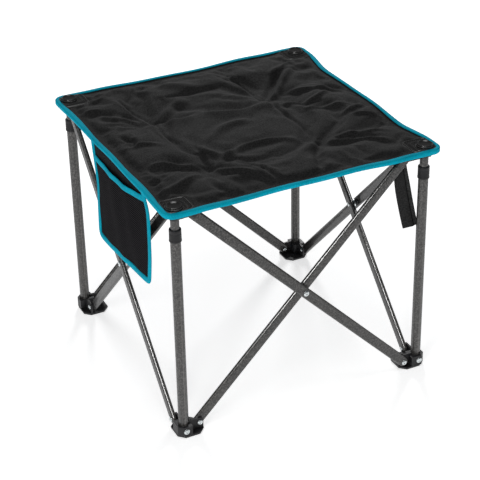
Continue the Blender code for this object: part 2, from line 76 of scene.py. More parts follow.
# Places read from the frame
JOINTS = {joint["name"]: joint for joint in frame["joints"]}
FOOT_PIVOT = Vector(JOINTS["fold"]["pos_m"])
CROSSING = Vector(JOINTS["scissor_front"]["pos_m"])
CREASE = Vector(JOINTS["crease_front_first"]["pos_m"])
POST_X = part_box("lower_post_front_right")[0].x / 2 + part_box("lower_post_front_right")[1].x / 2
PANEL_HALF = abs(CREASE.x)
FABRIC_Z = CREASE.z
PAD_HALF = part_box("pad_border")[1].x
BORDER_TOP_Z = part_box("pad_border")[1].z
EDGE_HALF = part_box("edge_binding")[1].x
EDGE_LOW_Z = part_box("edge_binding")[0].z
EDGE_HIGH_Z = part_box("edge_binding")[1].z
EDGE_MIDDLE = (EDGE_LOW_Z + EDGE_HIGH_Z) / 2
EDGE_TALL = (EDGE_HIGH_Z - EDGE_LOW_Z) / 2

# Half an arm's length, from the foot pivot to the crossing, and the arms' angle at rest
ARM_HALF = (CROSSING - FOOT_PIVOT).length
REST_ANGLE = math.atan2(CROSSING.z - FOOT_PIVOT.z, CROSSING.x - FOOT_PIVOT.x)


# ---------------------------------------------------------------- materials


class Nodes:
    """A short way to write a node tree: each call adds a node and returns it."""

    def __init__(self, name):
        self.material = bpy.data.materials.new(name)
        self.material.use_nodes = True
        self.tree = self.material.node_tree
        self.shader = self.tree.nodes["Principled BSDF"]
        self.place = self.add("ShaderNodeTexCoord").outputs["Object"]

    def add(self, kind, inputs=None, **settings):
        node = self.tree.nodes.new(kind)
        for key, value in settings.items():
            setattr(node, key, value)
        for key, value in (inputs or {}).items():
            self.set(node, key, value)
        return node

    def set(self, node, key, value):
        if isinstance(value, bpy.types.NodeSocket):
            self.tree.links.new(value, node.inputs[key])
        else:
            node.inputs[key].default_value = value

    def noise(self, scale, detail=2.0, place=None, roughness=0.5):
        inputs = {"Vector": place or self.place, "Scale": scale, "Detail": detail, "Roughness": roughness}
        return self.add("ShaderNodeTexNoise", inputs).outputs["Fac"]

    def stretched(self, x, y, z):
        return self.add("ShaderNodeMapping", {"Vector": self.place, "Scale": (x, y, z)}).outputs["Vector"]

    def wave(self, scale, axis, place=None, distortion=0.0):
        inputs = {"Vector": place or self.place, "Scale": scale, "Distortion": distortion, "Detail": 1.0}
        return self.add("ShaderNodeTexWave", inputs, bands_direction=axis).outputs["Fac"]

    def math(self, operation, a, b=0.0):
        return self.add("ShaderNodeMath", {0: a, 1: b}, operation=operation).outputs[0]

    def ramp(self, factor, low, high, first, second):
        """Colours first to second as factor goes from low to high."""
        node = self.add("ShaderNodeValToRGB", {"Fac": factor})
        for element, position, colour in zip(node.color_ramp.elements, (low, high), (first, second)):
            element.position = position
            element.color = (*colour, 1.0)
        return node.outputs["Color"]

    def span(self, value, low, high, to_low, to_high):
        inputs = {"Value": value, "From Min": low, "From Max": high, "To Min": to_low, "To Max": to_high}
        return self.add("ShaderNodeMapRange", inputs).outputs[0]

    def mix(self, factor, a, b, blend="MIX"):
        node = self.add("ShaderNodeMix", data_type="RGBA", blend_type=blend)
        self.set(node, 0, factor)
        self.set(node, 6, a)
        self.set(node, 7, b)
        return node.outputs[2]

    def bump(self, height, distance, strength=1.0, normal=None):
        inputs = {"Height": height, "Distance": distance, "Strength": strength}
        if normal:
            inputs["Normal"] = normal
        return self.add("ShaderNodeBump", inputs).outputs["Normal"]

    def finish(self, **inputs):
        for key, value in inputs.items():
            self.set(self.shader, key.replace("_", " "), value)
        return self.material


def grey(value):
    return (value, value, value)


def hammered_paint():
    """Dark grey hammer-finish paint: raised bright flecks in a darker, rougher ground, with a painted
    highlight on convex edges and painted shade where faces turn away from the view.
    """
    n = Nodes("hammered_paint_look")
    flecks = n.noise(330.0, 3.0, roughness=0.62)
    fine = n.noise(1500.0, 1.0)
    patches = n.noise(60.0, 2.0)
    colour = n.ramp(flecks, 0.45, 0.62, (0.005, 0.005, 0.005), (0.070, 0.067, 0.064))
    colour = n.mix(n.span(patches, 0.35, 0.65, 0.0, 0.35), colour, (0.040, 0.039, 0.037, 1.0))
    # Convex edges mixed towards light grey: a painted highlight along the arms' and tubes' rounded edges.
    edge = n.add("ShaderNodeNewGeometry").outputs["Pointiness"]
    colour = n.mix(n.span(edge, 0.52, 0.60, 0.0, 0.35), colour, (0.24, 0.23, 0.22, 1.0))
    # Faces seen at a slant are mixed towards near-black: painted shade on the tubes' sides.
    facing = n.add("ShaderNodeLayerWeight", {"Blend": 0.5}).outputs["Facing"]
    colour = n.mix(n.span(facing, 0.25, 0.85, 0.0, 0.90), colour, (0.003, 0.003, 0.003, 1.0))
    coat = n.span(facing, 0.45, 0.90, 0.85, 0.10)
    roughness = n.span(flecks, 0.35, 0.70, 0.50, 0.30)
    normal = n.bump(n.math("ADD", flecks, n.math("MULTIPLY", fine, 0.25)), 0.5 * MM, 0.55)
    return n.finish(
        Base_Color=colour, Metallic=0.35, Roughness=roughness, Normal=normal,
        Specular_IOR_Level=0.25, Coat_Weight=coat, Coat_Roughness=0.12,
    )


def moulded_plastic(name, colour, low, high, grain, shine, edge_lightening):
    """Black moulded plastic: fine spark-eroded grain, with its edges painted lighter; on the glossy caps and
    patches that is a painted highlight along the ring crests.
    """
    n = Nodes(name)
    speckle = n.noise(2600.0, 2.0)
    cloud = n.noise(45.0, 3.0)
    edge = n.add("ShaderNodeNewGeometry").outputs["Pointiness"]
    light = tuple(2.3 * channel for channel in colour)
    shade = n.mix(n.span(cloud, 0.3, 0.7, 0.0, 0.5), (*colour, 1.0), (*light, 1.0))
    # Edges are painted lighter by the last argument: a painted highlight on the ring crests of the caps and
    # patches.
    shade = n.mix(n.span(edge, 0.51, 0.58, 0.0, 0.6), shade, (*(edge_lightening * c for c in colour), 1.0))
    roughness = n.span(speckle, 0.3, 0.7, low, high)
    return n.finish(
        Base_Color=shade, Roughness=roughness, Normal=n.bump(speckle, grain, 0.5), Specular_IOR_Level=shine,
    )


def zinc():
    """Zinc-plated steel with faint turning marks and dull spots."""
    n = Nodes("zinc_steel_look")
    spots = n.noise(900.0, 3.0)
    colour = n.ramp(spots, 0.3, 0.7, (0.52, 0.56, 0.57), (0.80, 0.84, 0.85))
    roughness = n.span(spots, 0.3, 0.7, 0.38, 0.18)
    return n.finish(Base_Color=colour, Metallic=1.0, Roughness=roughness, Normal=n.bump(spots, 0.1 * MM, 0.4))


def woven(name, ground, thread, pitch, sheen):
    """Plain-woven cloth: two crossed sets of threads, cloudy wear, and a soft sheen at the folds."""
    n = Nodes(name)
    turns = 1.0 / (pitch * 2.0)
    warp = n.wave(turns, "X", distortion=0.6)
    weft = n.wave(turns, "Y", distortion=0.6)
    drop = n.wave(turns, "Z", distortion=0.6)
    threads = n.math("MAXIMUM", n.math("MULTIPLY", warp, weft), n.math("MULTIPLY", drop, 0.6))
    slub = n.noise(1.0, 3.0, n.stretched(60.0, 700.0, 300.0))
    cloud = n.noise(11.0, 4.0)
    lint = n.noise(1700.0, 2.0, roughness=0.7)
    mottle = n.noise(420.0, 2.0, roughness=0.6)
    colour = n.mix(n.span(threads, 0.1, 0.9, 0.0, 1.0), (*ground, 1.0), (*thread, 1.0))
    colour = n.mix(n.span(cloud, 0.35, 0.65, 0.0, 0.4), colour, (*thread, 1.0))
    colour = n.mix(n.span(slub, 0.52, 0.75, 0.0, 0.5), colour, (*(1.5 * c for c in thread), 1.0))
    colour = n.mix(n.span(mottle, 0.38, 0.62, 0.0, 0.75), colour, (*(2.2 * c for c in thread), 1.0))
    height = n.math("ADD", n.math("MULTIPLY", threads, 0.8), n.math("MULTIPLY", lint, 0.7))
    height = n.math("ADD", height, n.math("MULTIPLY", mottle, 1.2))
    normal = n.bump(height, 0.25 * MM, 0.6)
    roughness = n.span(lint, 0.3, 0.7, 0.78, 0.95)
    return n.finish(
        Base_Color=colour, Roughness=roughness, Normal=normal, Specular_IOR_Level=0.16,
        Sheen_Weight=sheen, Sheen_Roughness=0.55, Sheen_Tint=(0.80, 0.80, 0.82, 1.0),
    )


def tape(name, dark, light):
    """Ribbed polyester tape."""
    n = Nodes(name)
    ribs = n.noise(1.0, 1.0, n.stretched(900.0, 900.0, 260.0))
    cloud = n.noise(28.0, 3.0)
    colour = n.ramp(ribs, 0.32, 0.68, dark, light)
    colour = n.mix(n.span(cloud, 0.35, 0.70, 0.0, 0.35), colour, (*(0.62 * c for c in dark), 1.0))
    normal = n.bump(ribs, 0.25 * MM, 0.6)
    return n.finish(Base_Color=colour, Roughness=0.85, Normal=normal, Specular_IOR_Level=0.08)


def ribbed_mesh():
    """Knitted pocket mesh: close level ribs with open eyelets between them."""
    n = Nodes("pocket_mesh_look")
    ribs = n.wave(75.0, "Z", distortion=0.5)
    cells = n.wave(150.0, "Y", distortion=0.5)
    eyelets = n.math("MULTIPLY", ribs, cells)
    colour = n.ramp(ribs, 0.40, 0.80, (0.001, 0.001, 0.001), (0.034, 0.032, 0.037))
    colour = n.mix(n.span(eyelets, 0.5, 0.9, 0.0, 0.4), colour, (0.018, 0.017, 0.020, 1.0))
    normal = n.bump(n.math("ADD", ribs, eyelets), 0.8 * MM, 0.8)
    return n.finish(Base_Color=colour, Roughness=0.90, Normal=normal, Specular_IOR_Level=0.05)


def studio_floor():
    n = Nodes("studio_floor")
    cloud = n.noise(1.5, 2.0)
    colour = n.ramp(cloud, 0.3, 0.7, (0.90, 0.90, 0.905), (0.93, 0.93, 0.93))
    return n.finish(Base_Color=colour, Roughness=0.9, Emission_Color=colour, Emission_Strength=0.70)


# Each look's finish in the record and its material
LOOKS = {
    "tube": ("hammered_paint", hammered_paint()),
    "hub": ("black_plastic", moulded_plastic(
        "black_plastic_look", (0.013, 0.013, 0.014), 0.38, 0.58, 0.12 * MM, 0.30, 4.0)),
    # The last number paints edges lighter; for the cap and the patch it is a painted highlight on the ring
    # crests.
    "cap": ("gloss_plastic", moulded_plastic(
        "gloss_plastic_look", (0.006, 0.006, 0.006), 0.12, 0.24, 0.03 * MM, 0.55, 45.0)),
    "patch": ("gloss_plastic", moulded_plastic(
        "pressed_patch_look", (0.005, 0.005, 0.005), 0.20, 0.32, 0.03 * MM, 0.45, 50.0)),
    "rivet": ("zinc_steel", zinc()),
    "fabric": ("black_fabric", woven("black_fabric_look", grey(0.005), grey(0.016), 0.9 * MM, 0.02)),
    # Near-black strap strip: a painted shadow along the front layer's folded edge.
    "fold": ("black_fabric", woven("strap_painted_shadow_look", grey(0.001), grey(0.002), 1.3 * MM, 0.0)),
    # A lighter copy of the strap fabric: painted light on the back layer that the front layer leaves showing.
    "lit_strap": ("black_fabric", woven("strap_lit_look", grey(0.012), grey(0.034), 1.3 * MM, 0.05)),
    "pocket": ("black_fabric", woven("pocket_back_look", grey(0.002), (0.005, 0.005, 0.006), 0.9 * MM, 0.0)),
    "strap": ("black_fabric", woven("strap_look", grey(0.007), grey(0.020), 1.3 * MM, 0.03)),
    "teal": ("teal_tape", tape("teal_tape_look", (0.001, 0.370, 0.520), (0.001, 0.520, 0.710))),
    "stitch": ("teal_tape", tape("teal_stitch_look", (0.001, 0.270, 0.380), (0.001, 0.380, 0.520))),
    "mesh": ("pocket_mesh", ribbed_mesh()),
}


# ---------------------------------------------------------------- mesh helpers


def new_object(name, mesh, look):
    obj = bpy.data.objects.new(name, mesh)
    bpy.context.scene.collection.objects.link(obj)
    slot, material = LOOKS[look]
    mesh.materials.clear()
    mesh.materials.append(material)
    return obj


def piece(name, mesh, look, body, replaces=()):
    """A finished object in the row frame that rides on one body and may stand for CAD nodes."""
    obj = new_object(name, mesh, look)
    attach(obj, body)
    if replaces:
        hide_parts(*replaces)
    return obj


def to_mesh(bm, name, angle=40.0):
    bmesh.ops.recalc_face_normals(bm, faces=bm.faces)
    mesh = bpy.data.meshes.new(name)
    bm.to_mesh(mesh)
    bm.free()
    mesh.shade_smooth()
    mesh.set_sharp_from_angle(angle=math.radians(angle))
    return mesh


def moved(mesh, matrix):
    copy = mesh.copy()
    copy.transform(matrix)
    return copy


def lathe(name, profile, steps, closed, angle=40.0):
    """Turn (radius, height) points about Z; an open profile starts and ends on the axis."""
    bm = bmesh.new()
    points = [bm.verts.new((radius, 0.0, height)) for radius, height in profile]
    edges = [bm.edges.new(pair) for pair in zip(points, points[1:])]
    if closed:
        edges.append(bm.edges.new((points[-1], points[0])))
    bmesh.ops.spin(
        bm, geom=points + edges, cent=(0, 0, 0), axis=(0, 0, 1),
        angle=2 * math.pi, steps=steps, use_merge=True,
    )
    bmesh.ops.remove_doubles(bm, verts=bm.verts, dist=1e-6)
    return to_mesh(bm, name, angle)


def in_mm(points, x=0.0, y=0.0):
    """Points given in millimetres, moved to a place given in metres."""
    return [(x + a * MM, y + b * MM) for a, b in points]


def turned_part(node, profile, steps, closed, angle=40.0):
    """A lathed part on the axis of its CAD node."""
    low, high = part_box(node)
    mesh = lathe(node, profile, steps, closed, angle)
    return moved(mesh, Matrix.Translation(((low.x + high.x) / 2, (low.y + high.y) / 2, 0)))


def arc(centre, radius, first, last, steps):
    angles = [math.radians(first + (last - first) * i / steps) for i in range(steps + 1)]
    return [(centre[0] + radius * math.cos(t), centre[1] + radius * math.sin(t)) for t in angles]


def rounded(points, radius, steps=3, closed=True):
    """Round the corners of a flat outline."""
    result = []
    count = len(points)
    for i, point in enumerate(points):
        if not closed and i in (0, count - 1):
            result.append(point)
            continue
        here = Vector(point)
        before = Vector(points[i - 1]) - here
        after = Vector(points[(i + 1) % count]) - here
        reach = min(radius, before.length * 0.45, after.length * 0.45)
        start = here + before.normalized() * reach
        end = here + after.normalized() * reach
        for k in range(steps + 1):
            t = k / steps
            result.append(tuple((1 - t) ** 2 * start + 2 * t * (1 - t) * here + t * t * end))
    return result


def skin(name, loops, close_path=True, cap_ends=False, angle=40.0):
    """Faces between successive closed loops of points."""
    bm = bmesh.new()
    rows = [[bm.verts.new(point) for point in loop] for loop in loops]
    pairs = list(zip(rows, rows[1:]))
    if close_path:
        pairs.append((rows[-1], rows[0]))
    width = len(rows[0])
    for a, b in pairs:
        for i in range(width):
            j = (i + 1) % width
            bm.faces.new((a[i], a[j], b[j], b[i]))
    if cap_ends:
        bm.faces.new(rows[0])
        bm.faces.new(rows[-1])
    return to_mesh(bm, name, angle)


def quarter(turns):
    return Matrix.Rotation(math.radians(90 * turns), 4, "Z")


def corner_frame(index):
    return quarter(index) @ Matrix.Translation((-POST_X, -POST_X, 0))


def head_along(axis):
    return Vector(axis).to_track_quat("Z", "Y").to_matrix().to_4x4()


# ---------------------------------------------------------------- frame parts


TUBE_STEPS = 40
ROUND_STEPS = 56
CAP_STEPS = 72
TUBE_WALL = 1.2 * MM
TUBE_ROLL = 0.4 * MM
UPPER_BORE = 8.3 * MM        # closes on the upper tube
LOWER_BORE = 9.8 * MM        # slides over the lower tube


def tube(node):
    """A drawn tube with rolled ends, in the space of its CAD node."""
    low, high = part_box(node)
    radius = (high.x - low.x) / 2
    bore = radius - TUBE_WALL
    profile = [(bore, low.z), (radius, low.z), (radius, high.z), (bore, high.z)]
    return turned_part(node, rounded(profile, TUBE_ROLL), TUBE_STEPS, closed=True)


def collar(node):
    """The moulded sleeve: a rolled foot, a fine parting ring and a lip that closes on the upper tube."""
    low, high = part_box(node)
    radius = (high.x - low.x) / 2
    step = low.z + 8.0 * MM
    body = radius - 0.3 * MM
    foot = in_mm([(-0.6, 0), (0, 0.9), (0, 3.4), (-0.3, 4.0)], radius, low.z)
    ring = in_mm([(0, -8.6), (-0.5, -8.0), (0, -7.4)], body, high.z)
    head = in_mm([(0, -2.0), (-0.6, -0.5), (-1.6, 0)], body, high.z)
    lip = [(UPPER_BORE, high.z), (UPPER_BORE, step), (LOWER_BORE, step)]
    profile = [(LOWER_BORE, low.z)] + foot + ring + head + lip
    return turned_part(node, rounded(profile, 0.45 * MM, 2), ROUND_STEPS, closed=True)


def cap(node):
    """Corner button: a dished disc with a rolled rim, in an outer ring, above its shank."""
    low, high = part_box(node)
    radius = (high.x - low.x) / 2
    top = high.z - 1.2 * MM
    seat = BORDER_TOP_Z + 0.3 * MM
    shank = 4.0 * MM
    dish = in_mm([(0, -2.6), (6.0, -2.5), (9.0, -2.1), (10.8, -1.0), (12.2, 0)], 0, top)
    rim = in_mm([(13.4, -0.2), (14.0, -1.4), (14.4, -2.7)], 0, top)
    ring = in_mm([(14.9, -3.0), (15.5, -2.3), (16.2, -2.5)], 0, top)
    stem = [(radius, top - 3.4 * MM), (radius, seat), (shank, seat), (shank, low.z), (0, low.z)]
    profile = rounded(dish + rim + ring + stem, 0.8 * MM, 4, closed=False)
    return turned_part(node, profile, CAP_STEPS, closed=False, angle=75)


def rivet(name, grip, head, tail, spacer=0.0):
    """A tubular rivet along Z: a domed head with a dimple, a shank, and a rolled tail."""
    half = grip / 2
    shank = 2.9 * MM
    height = 2.3 * MM
    profile = [
        (0, half + 0.9 * MM), (1.1 * MM, half + 0.9 * MM), (1.6 * MM, half + 1.9 * MM),
        (2.3 * MM, half + height), (0.72 * head, half + 0.80 * height), (0.94 * head, half + 0.42 * height),
        (head, half + 0.12 * height), (0.97 * head, half), (shank, half),
    ]
    if spacer:
        profile += [(shank, 2.0 * MM), (spacer, 2.0 * MM), (spacer, -2.0 * MM), (shank, -2.0 * MM)]
    profile += [
        (shank, -half), (0.96 * tail, -half), (tail, -half - 0.6 * MM), (0.7 * tail, -half - 1.5 * MM),
        (0.45 * tail, -half - 1.7 * MM), (0.3 * tail, -half - 0.8 * MM), (0, -half - 0.8 * MM),
    ]
    return lathe(name, rounded(profile, 0.35 * MM, 2, closed=False), 36, closed=False)


def post_rivet():
    """A blind rivet on the outer face of a foot's block: a wide, dimpled head along +Z."""
    height = 2.0 * MM
    face = abs(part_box("post_rivet_front_left")[0].y) - POST_X - height
    low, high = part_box("post_rivet_front_left")
    head = (high.x - low.x) / 2 + 0.3 * MM
    shank = 2.3 * MM
    inside = 7.5 * MM
    profile = [
        (0, face + 0.3 * height), (0.30 * head, face + 0.3 * height), (0.38 * head, face + 0.8 * height),
        (0.55 * head, face + height), (0.80 * head, face + 0.7 * height), (0.97 * head, face + 0.3 * height),
        (head, face), (shank, face), (shank, inside), (0, inside),
    ]
    return lathe("post_rivet", rounded(profile, 0.3 * MM, 2, closed=False), 36, closed=False)


def arm():
    """A tube pressed to a flat oval, with round ends, along X."""
    half = ARM_HALF
    width = 10.0 * MM
    depth = 4.5 * MM
    outline = arc((half, 0), width, -90, 90, 18) + arc((-half, 0), width, 90, 270, 18)
    bm = bmesh.new()
    face = bm.faces.new([bm.verts.new((x, -depth, z)) for x, z in outline])
    swept = bmesh.ops.extrude_face_region(bm, geom=[face])
    far = [item for item in swept["geom"] if isinstance(item, bmesh.types.BMVert)]
    bmesh.ops.translate(bm, verts=far, vec=(0, 2 * depth, 0))
    rims = [edge for edge in bm.edges if abs(edge.verts[0].co.y - edge.verts[1].co.y) < 1e-6]
    bmesh.ops.bevel(bm, geom=rims, offset=4.3 * MM, segments=7, profile=0.5, affect="EDGES")
    return to_mesh(bm, "arm", 60)


def applied(mesh, kind, **settings):
    """A copy of a mesh with one modifier applied."""
    obj = bpy.data.objects.new("work", mesh)
    bpy.context.scene.collection.objects.link(obj)
    modifier = obj.modifiers.new("work", kind)
    for key, value in settings.items():
        setattr(modifier, key, value)
    result = bpy.data.meshes.new_from_object(obj.evaluated_get(bpy.context.evaluated_depsgraph_get()))
    bpy.data.objects.remove(obj)
    return result


def refined(node, width):
    """The CAD solid with its flat faces rejoined and its edges rounded like a moulding."""
    bm = bmesh.new()
    bm.from_mesh(frame["nodes"][node].data)
    bmesh.ops.remove_doubles(bm, verts=bm.verts, dist=1e-6)
    bmesh.ops.dissolve_limit(bm, angle_limit=math.radians(2), verts=bm.verts, edges=bm.edges)
    return applied(
        to_mesh(bm, node), "BEVEL", width=width, segments=3, limit_method="ANGLE",
        angle_limit=math.radians(28), use_clamp_overlap=True, harden_normals=True,
    )


def build_frame_parts():
    ear = 2.0 * MM
    arm_face = abs(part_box("arm_front_outer")[0].y) - POST_X
    grip = arm_face + ear + 0.6 * MM
    foot_rivet = rivet("foot_rivet", grip, 5.6 * MM, 4.2 * MM)
    cross_rivet = rivet("scissor_rivet", 2 * arm_face + 0.6 * MM, 5.6 * MM, 4.4 * MM, spacer=7.5 * MM)
    blind_rivet = post_rivet()
    flat_arm = arm()
    inset = FOOT_PIVOT.x + POST_X
    middle = (arm_face - ear) / 2
    plane = (arm_face + ear) / 2 + 0.15 * MM
    for i, corner in enumerate(CORNERS):
        here = corner_frame(i)
        foot = "foot_" + corner
        top = "top_" + corner
        for kind, body in (("lower_post_", foot), ("upper_post_", top)):
            piece("tube_" + kind + corner, tube(kind + corner), "tube", body, [kind + corner])
        piece("sleeve_" + corner, collar("collar_" + corner), "hub", foot, ["collar_" + corner])
        piece("button_" + corner, cap("corner_cap_" + corner), "cap", top, ["corner_cap_" + corner])
        piece("sole_" + corner, refined("foot_hub_" + corner, 0.9 * MM), "hub", foot, ["foot_hub_" + corner])
        piece("head_" + corner, refined("top_hub_" + corner, 0.6 * MM), "hub", top, ["top_hub_" + corner])
        low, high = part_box("post_rivet_" + corner)
        height = (low.z + high.z) / 2
        outward = (0, -1, 0) if i % 2 == 0 else (-1, 0, 0)
        turn = here @ Matrix.Translation((0, 0, height)) @ head_along(outward)
        piece("blind_rivet_" + corner, moved(blind_rivet, turn), "rivet", foot, ["post_rivet_" + corner])
        inner = here @ Matrix.Translation((inset, middle, FOOT_PIVOT.z)) @ head_along((0, -1, 0))
        outer = here @ Matrix.Translation((-middle, inset, FOOT_PIVOT.z)) @ head_along((-1, 0, 0))
        for side, kind, turn in ((SIDES[i], "inner", inner), (SIDES[i - 1], "outer", outer)):
            node = f"foot_rivet_{side}_{kind}"
            piece(f"ear_rivet_{side}_{kind}", moved(foot_rivet, turn), "rivet", foot, [node])
    for i, side in enumerate(SIDES):
        here = quarter(i) @ Matrix.Translation((0, -POST_X, CROSSING.z))
        inner = here @ Matrix.Translation((0, plane, 0)) @ Matrix.Rotation(-REST_ANGLE, 4, "Y")
        outer = here @ Matrix.Translation((0, -plane, 0)) @ Matrix.Rotation(REST_ANGLE, 4, "Y")
        piece(f"bar_{side}_inner", moved(flat_arm, inner), "tube", f"arm_{side}_inner", [f"arm_{side}_inner"])
        piece(f"bar_{side}_outer", moved(flat_arm, outer), "tube", f"arm_{side}_outer", [f"arm_{side}_outer"])
        turn = here @ head_along((0, -1, 0))
        node = f"scissor_rivet_{side}"
        piece(f"cross_rivet_{side}", moved(cross_rivet, turn), "rivet", f"arm_{side}_inner", [node])


# ---------------------------------------------------------------- the padded top


PAD_CELLS = 112
EDGE_ROUND = 20.0 * MM
TUFTS = ((-0.142, 0.083), (-0.131, -0.135), (0.093, 0.078), (0.094, -0.137))
CROWN_Z = 0.4900
SWELL_UP = 5.4 * MM          # how far the cloths start from the seam, before they swell
SWELL_DOWN = 3.4 * MM
SEAM_GAP = 1.6 * MM          # half the gap between the cloths at the seam
PATCH_GAP = 2.2 * MM         # and under the corner patches
TUFT_GRIP = 7.0 * MM
TUFT_DIP = 6.0 * MM
TUFT_REACH = 15.0 * MM
TUFT_PINCH = 7.0 * MM        # a narrower, deeper dip at the tuft itself
PINCH_REACH = 6.0 * MM
FOLD_GAIN = 1.3
FOLD_STEPS = 16
BROAD_SHARE = 0.30           # how much of the simulated swell is kept
FINE_SHARE = 0.90            # and how much of its fine wrinkles
SIDE_CREEP = 3.0 * MM
THINNEST = 1.5 * MM
UNDER_SAG = 16.0 * MM        # how far the lower cloth may hang, away from the top hubs
SAG = 9.0 * MM               # the cloth hangs this much lower in the middle

# Folds in the top cloth, in millimetres: start, bend and end of the path, width, height (below zero for a
# crease), and step, which lifts the side to the left of the path and lowers the other.
FOLDS = (
    # from the back left tuft
    ((-142, 83), (-163, 140), (-176, 215), 3.0, -5.1, 2.6),
    ((-142, 78), (-100, 60), (-45, 80), 4.5, -1.4, -4.2),
    ((-45, 80), (10, 46), (92, 60), 4.5, -1.4, -4.2),
    ((-144, 75), (-160, 20), (-138, -50), 2.6, -3.4, 0.0),
    ((-232, 150), (-190, 115), (-150, 85), 6.0, 3.7, 0.0),
    # from the back right tuft
    ((93, 82), (76, 140), (66, 255), 2.8, -4.8, 1.3),
    ((97, 84), (135, 130), (212, 222), 6.5, -6.8, -2.6),
    ((108, 78), (155, 128), (222, 200), 6.0, 3.7, 0.0),
    ((95, 70), (84, -10), (96, -128), 3.0, -4.1, 0.0),
    ((145, 85), (225, 78), (250, 12), 5.0, 4.4, 0.0),
    ((98, 34), (170, 10), (228, 56), 5.0, 4.1, 0.0),
    ((130, -10), (192, -8), (212, -36), 4.0, 3.4, 0.0),
    # from the front left tuft
    ((-116, -50), (-118, -100), (-131, -135), 3.0, -2.0, 3.8),
    ((-118, -140), (-5, -42), (80, -140), 8.0, 5.4, -1.9),
    ((-126, -142), (-104, -184), (-68, -210), 5.0, 4.4, 0.0),
    ((-72, -160), (-42, -210), (-50, -262), 4.0, -5.1, 0.0),
    ((-238, -96), (-190, -92), (-140, -134), 6.0, 4.8, 0.0),
    ((-262, -198), (-200, -192), (-142, -142), 6.0, 4.8, 0.0),
    ((-250, -158), (-225, -150), (-196, -126), 5.0, -3.7, 0.0),
    # from the front right tuft
    ((90, -142), (56, -190), (30, -262), 6.0, -5.1, 0.0),
    ((100, -140), (176, -150), (216, -218), 4.2, 5.1, 0.0),
    ((104, -134), (196, -134), (236, -176), 3.6, 3.4, 0.0),
    ((180, -64), (220, -54), (252, -40), 5.0, 4.1, 0.0),
    ((195, -80), (234, -78), (247, -108), 4.0, 4.1, 0.0),
    # in the middle and along the left and back sides
    ((-90, -50), (-25, 40), (40, -12), 9.0, 3.7, 0.0),
    ((-228, 44), (-192, 0), (-252, -20), 5.0, -4.1, 0.0),
    ((-246, -16), (-205, 8), (-165, -36), 5.0, 3.7, 0.0),
    ((-252, 212), (-215, 222), (-183, 220), 5.0, 3.4, 0.0),
    ((-256, 170), (-235, 176), (-212, 166), 5.0, 3.1, 0.0),
    ((-105, 225), (-50, 215), (5, 160), 13.0, 3.7, 0.0),
    ((-90, 135), (-50, 70), (20, 110), 12.0, -3.7, 0.0),
    ((150, 168), (192, 200), (245, 212), 5.0, 3.7, 0.0),
)
PATCH_SHIFT = 7.0 * MM       # the pressed patch sits inboard of its button
PATCH_HALF = 25.5 * MM
PATCH_OUTER = 17.0 * MM      # the tape covers the plate beyond this
PATCH_RIDGES = (             # distance from the button's axis, half width, height
    (18.9 * MM, 1.4 * MM, 1.3 * MM),
    (23.4 * MM, 1.6 * MM, 1.1 * MM),
)


def smoothstep(value, low, high):
    t = np.clip((value - low) / (high - low), 0, 1)
    return t * t * (3 - 2 * t)


def by_side(x, y, on_side, on_front):
    """The first value along the left and right sides, the second along the front and the back."""
    return np.where(np.abs(x) > np.abs(y), on_side, on_front)


def edge_wave(x, y):
    """The seam's slight waviness, in height, by place along the edge.  It dies out at the corners."""
    along = by_side(x, y, y, x)
    side = by_side(x, y, np.sign(x) * 1.3, np.sign(y) * 2.9)
    fade = 1 - smoothstep(np.abs(along), 0.15, 0.235)
    wave = np.sin(19.0 * along + 1.7 * side) + 0.6 * np.sin(41.0 * along + 3.1 * side)
    return 1.15 * MM * wave * fade - 0.8 * MM * fade


def edge_pull(x, y):
    """How far the seam is drawn in between the corners by the padding.  The right side gives most."""
    along = by_side(x, y, y, x)
    side = by_side(x, y, np.sign(x) * 2.1, np.sign(y) * 0.7)
    right = (x > np.abs(y)) * 1.0
    near = 1 - smoothstep(np.abs(along), 0.08 + 0.06 * right, 0.235)
    wave = np.sin(27.0 * along + 2.3 * side)
    depth = (2.6 + 6.4 * right) * MM
    return depth * near + 0.9 * MM * wave * (1 - smoothstep(np.abs(along), 0.12, 0.225))


def tape_fall(x, y):
    """How much lower the tape's fold hangs at the corners than along the sides."""
    return 2.0 * MM * smoothstep(np.minimum(np.abs(x), np.abs(y)), 0.17, 0.245)


def tape_reach(x, y):
    """How far the tape reaches in over the fabric: widest a hand's breadth from each corner."""
    along = np.abs(by_side(x, y, y, x))
    wide = smoothstep(along, 0.05, 0.16) * (1 - smoothstep(along, 0.200, 0.228))
    return (7.8 + 2.4 * wide) * MM


def to_rounded_square(x, y, half):
    """Carry a square grid onto a square with round corners."""
    reach = half - EDGE_ROUND
    dx = np.maximum(np.abs(x) - reach, 0)
    dy = np.maximum(np.abs(y) - reach, 0)
    both = (dx > 0) & (dy > 0)
    shrink = np.where(both, np.maximum(dx, dy) / np.maximum(np.hypot(dx, dy), 1e-9), 1.0)
    nx = np.where(both, np.sign(x) * (reach + dx * shrink), x)
    ny = np.where(both, np.sign(y) * (reach + dy * shrink), y)
    return nx, ny


def corner_distance(x, y):
    """Distance from the nearest button's pressed patch centre, as a rounded square measures it."""
    cx = np.abs(x) - (POST_X - PATCH_SHIFT)
    cy = np.abs(y) - (POST_X - PATCH_SHIFT)
    return (np.abs(cx) ** 4 + np.abs(cy) ** 4) ** 0.25


def tuft_distance(x, y):
    return np.min([np.hypot(x - tx, y - ty) for tx, ty in TUFTS], axis=0)


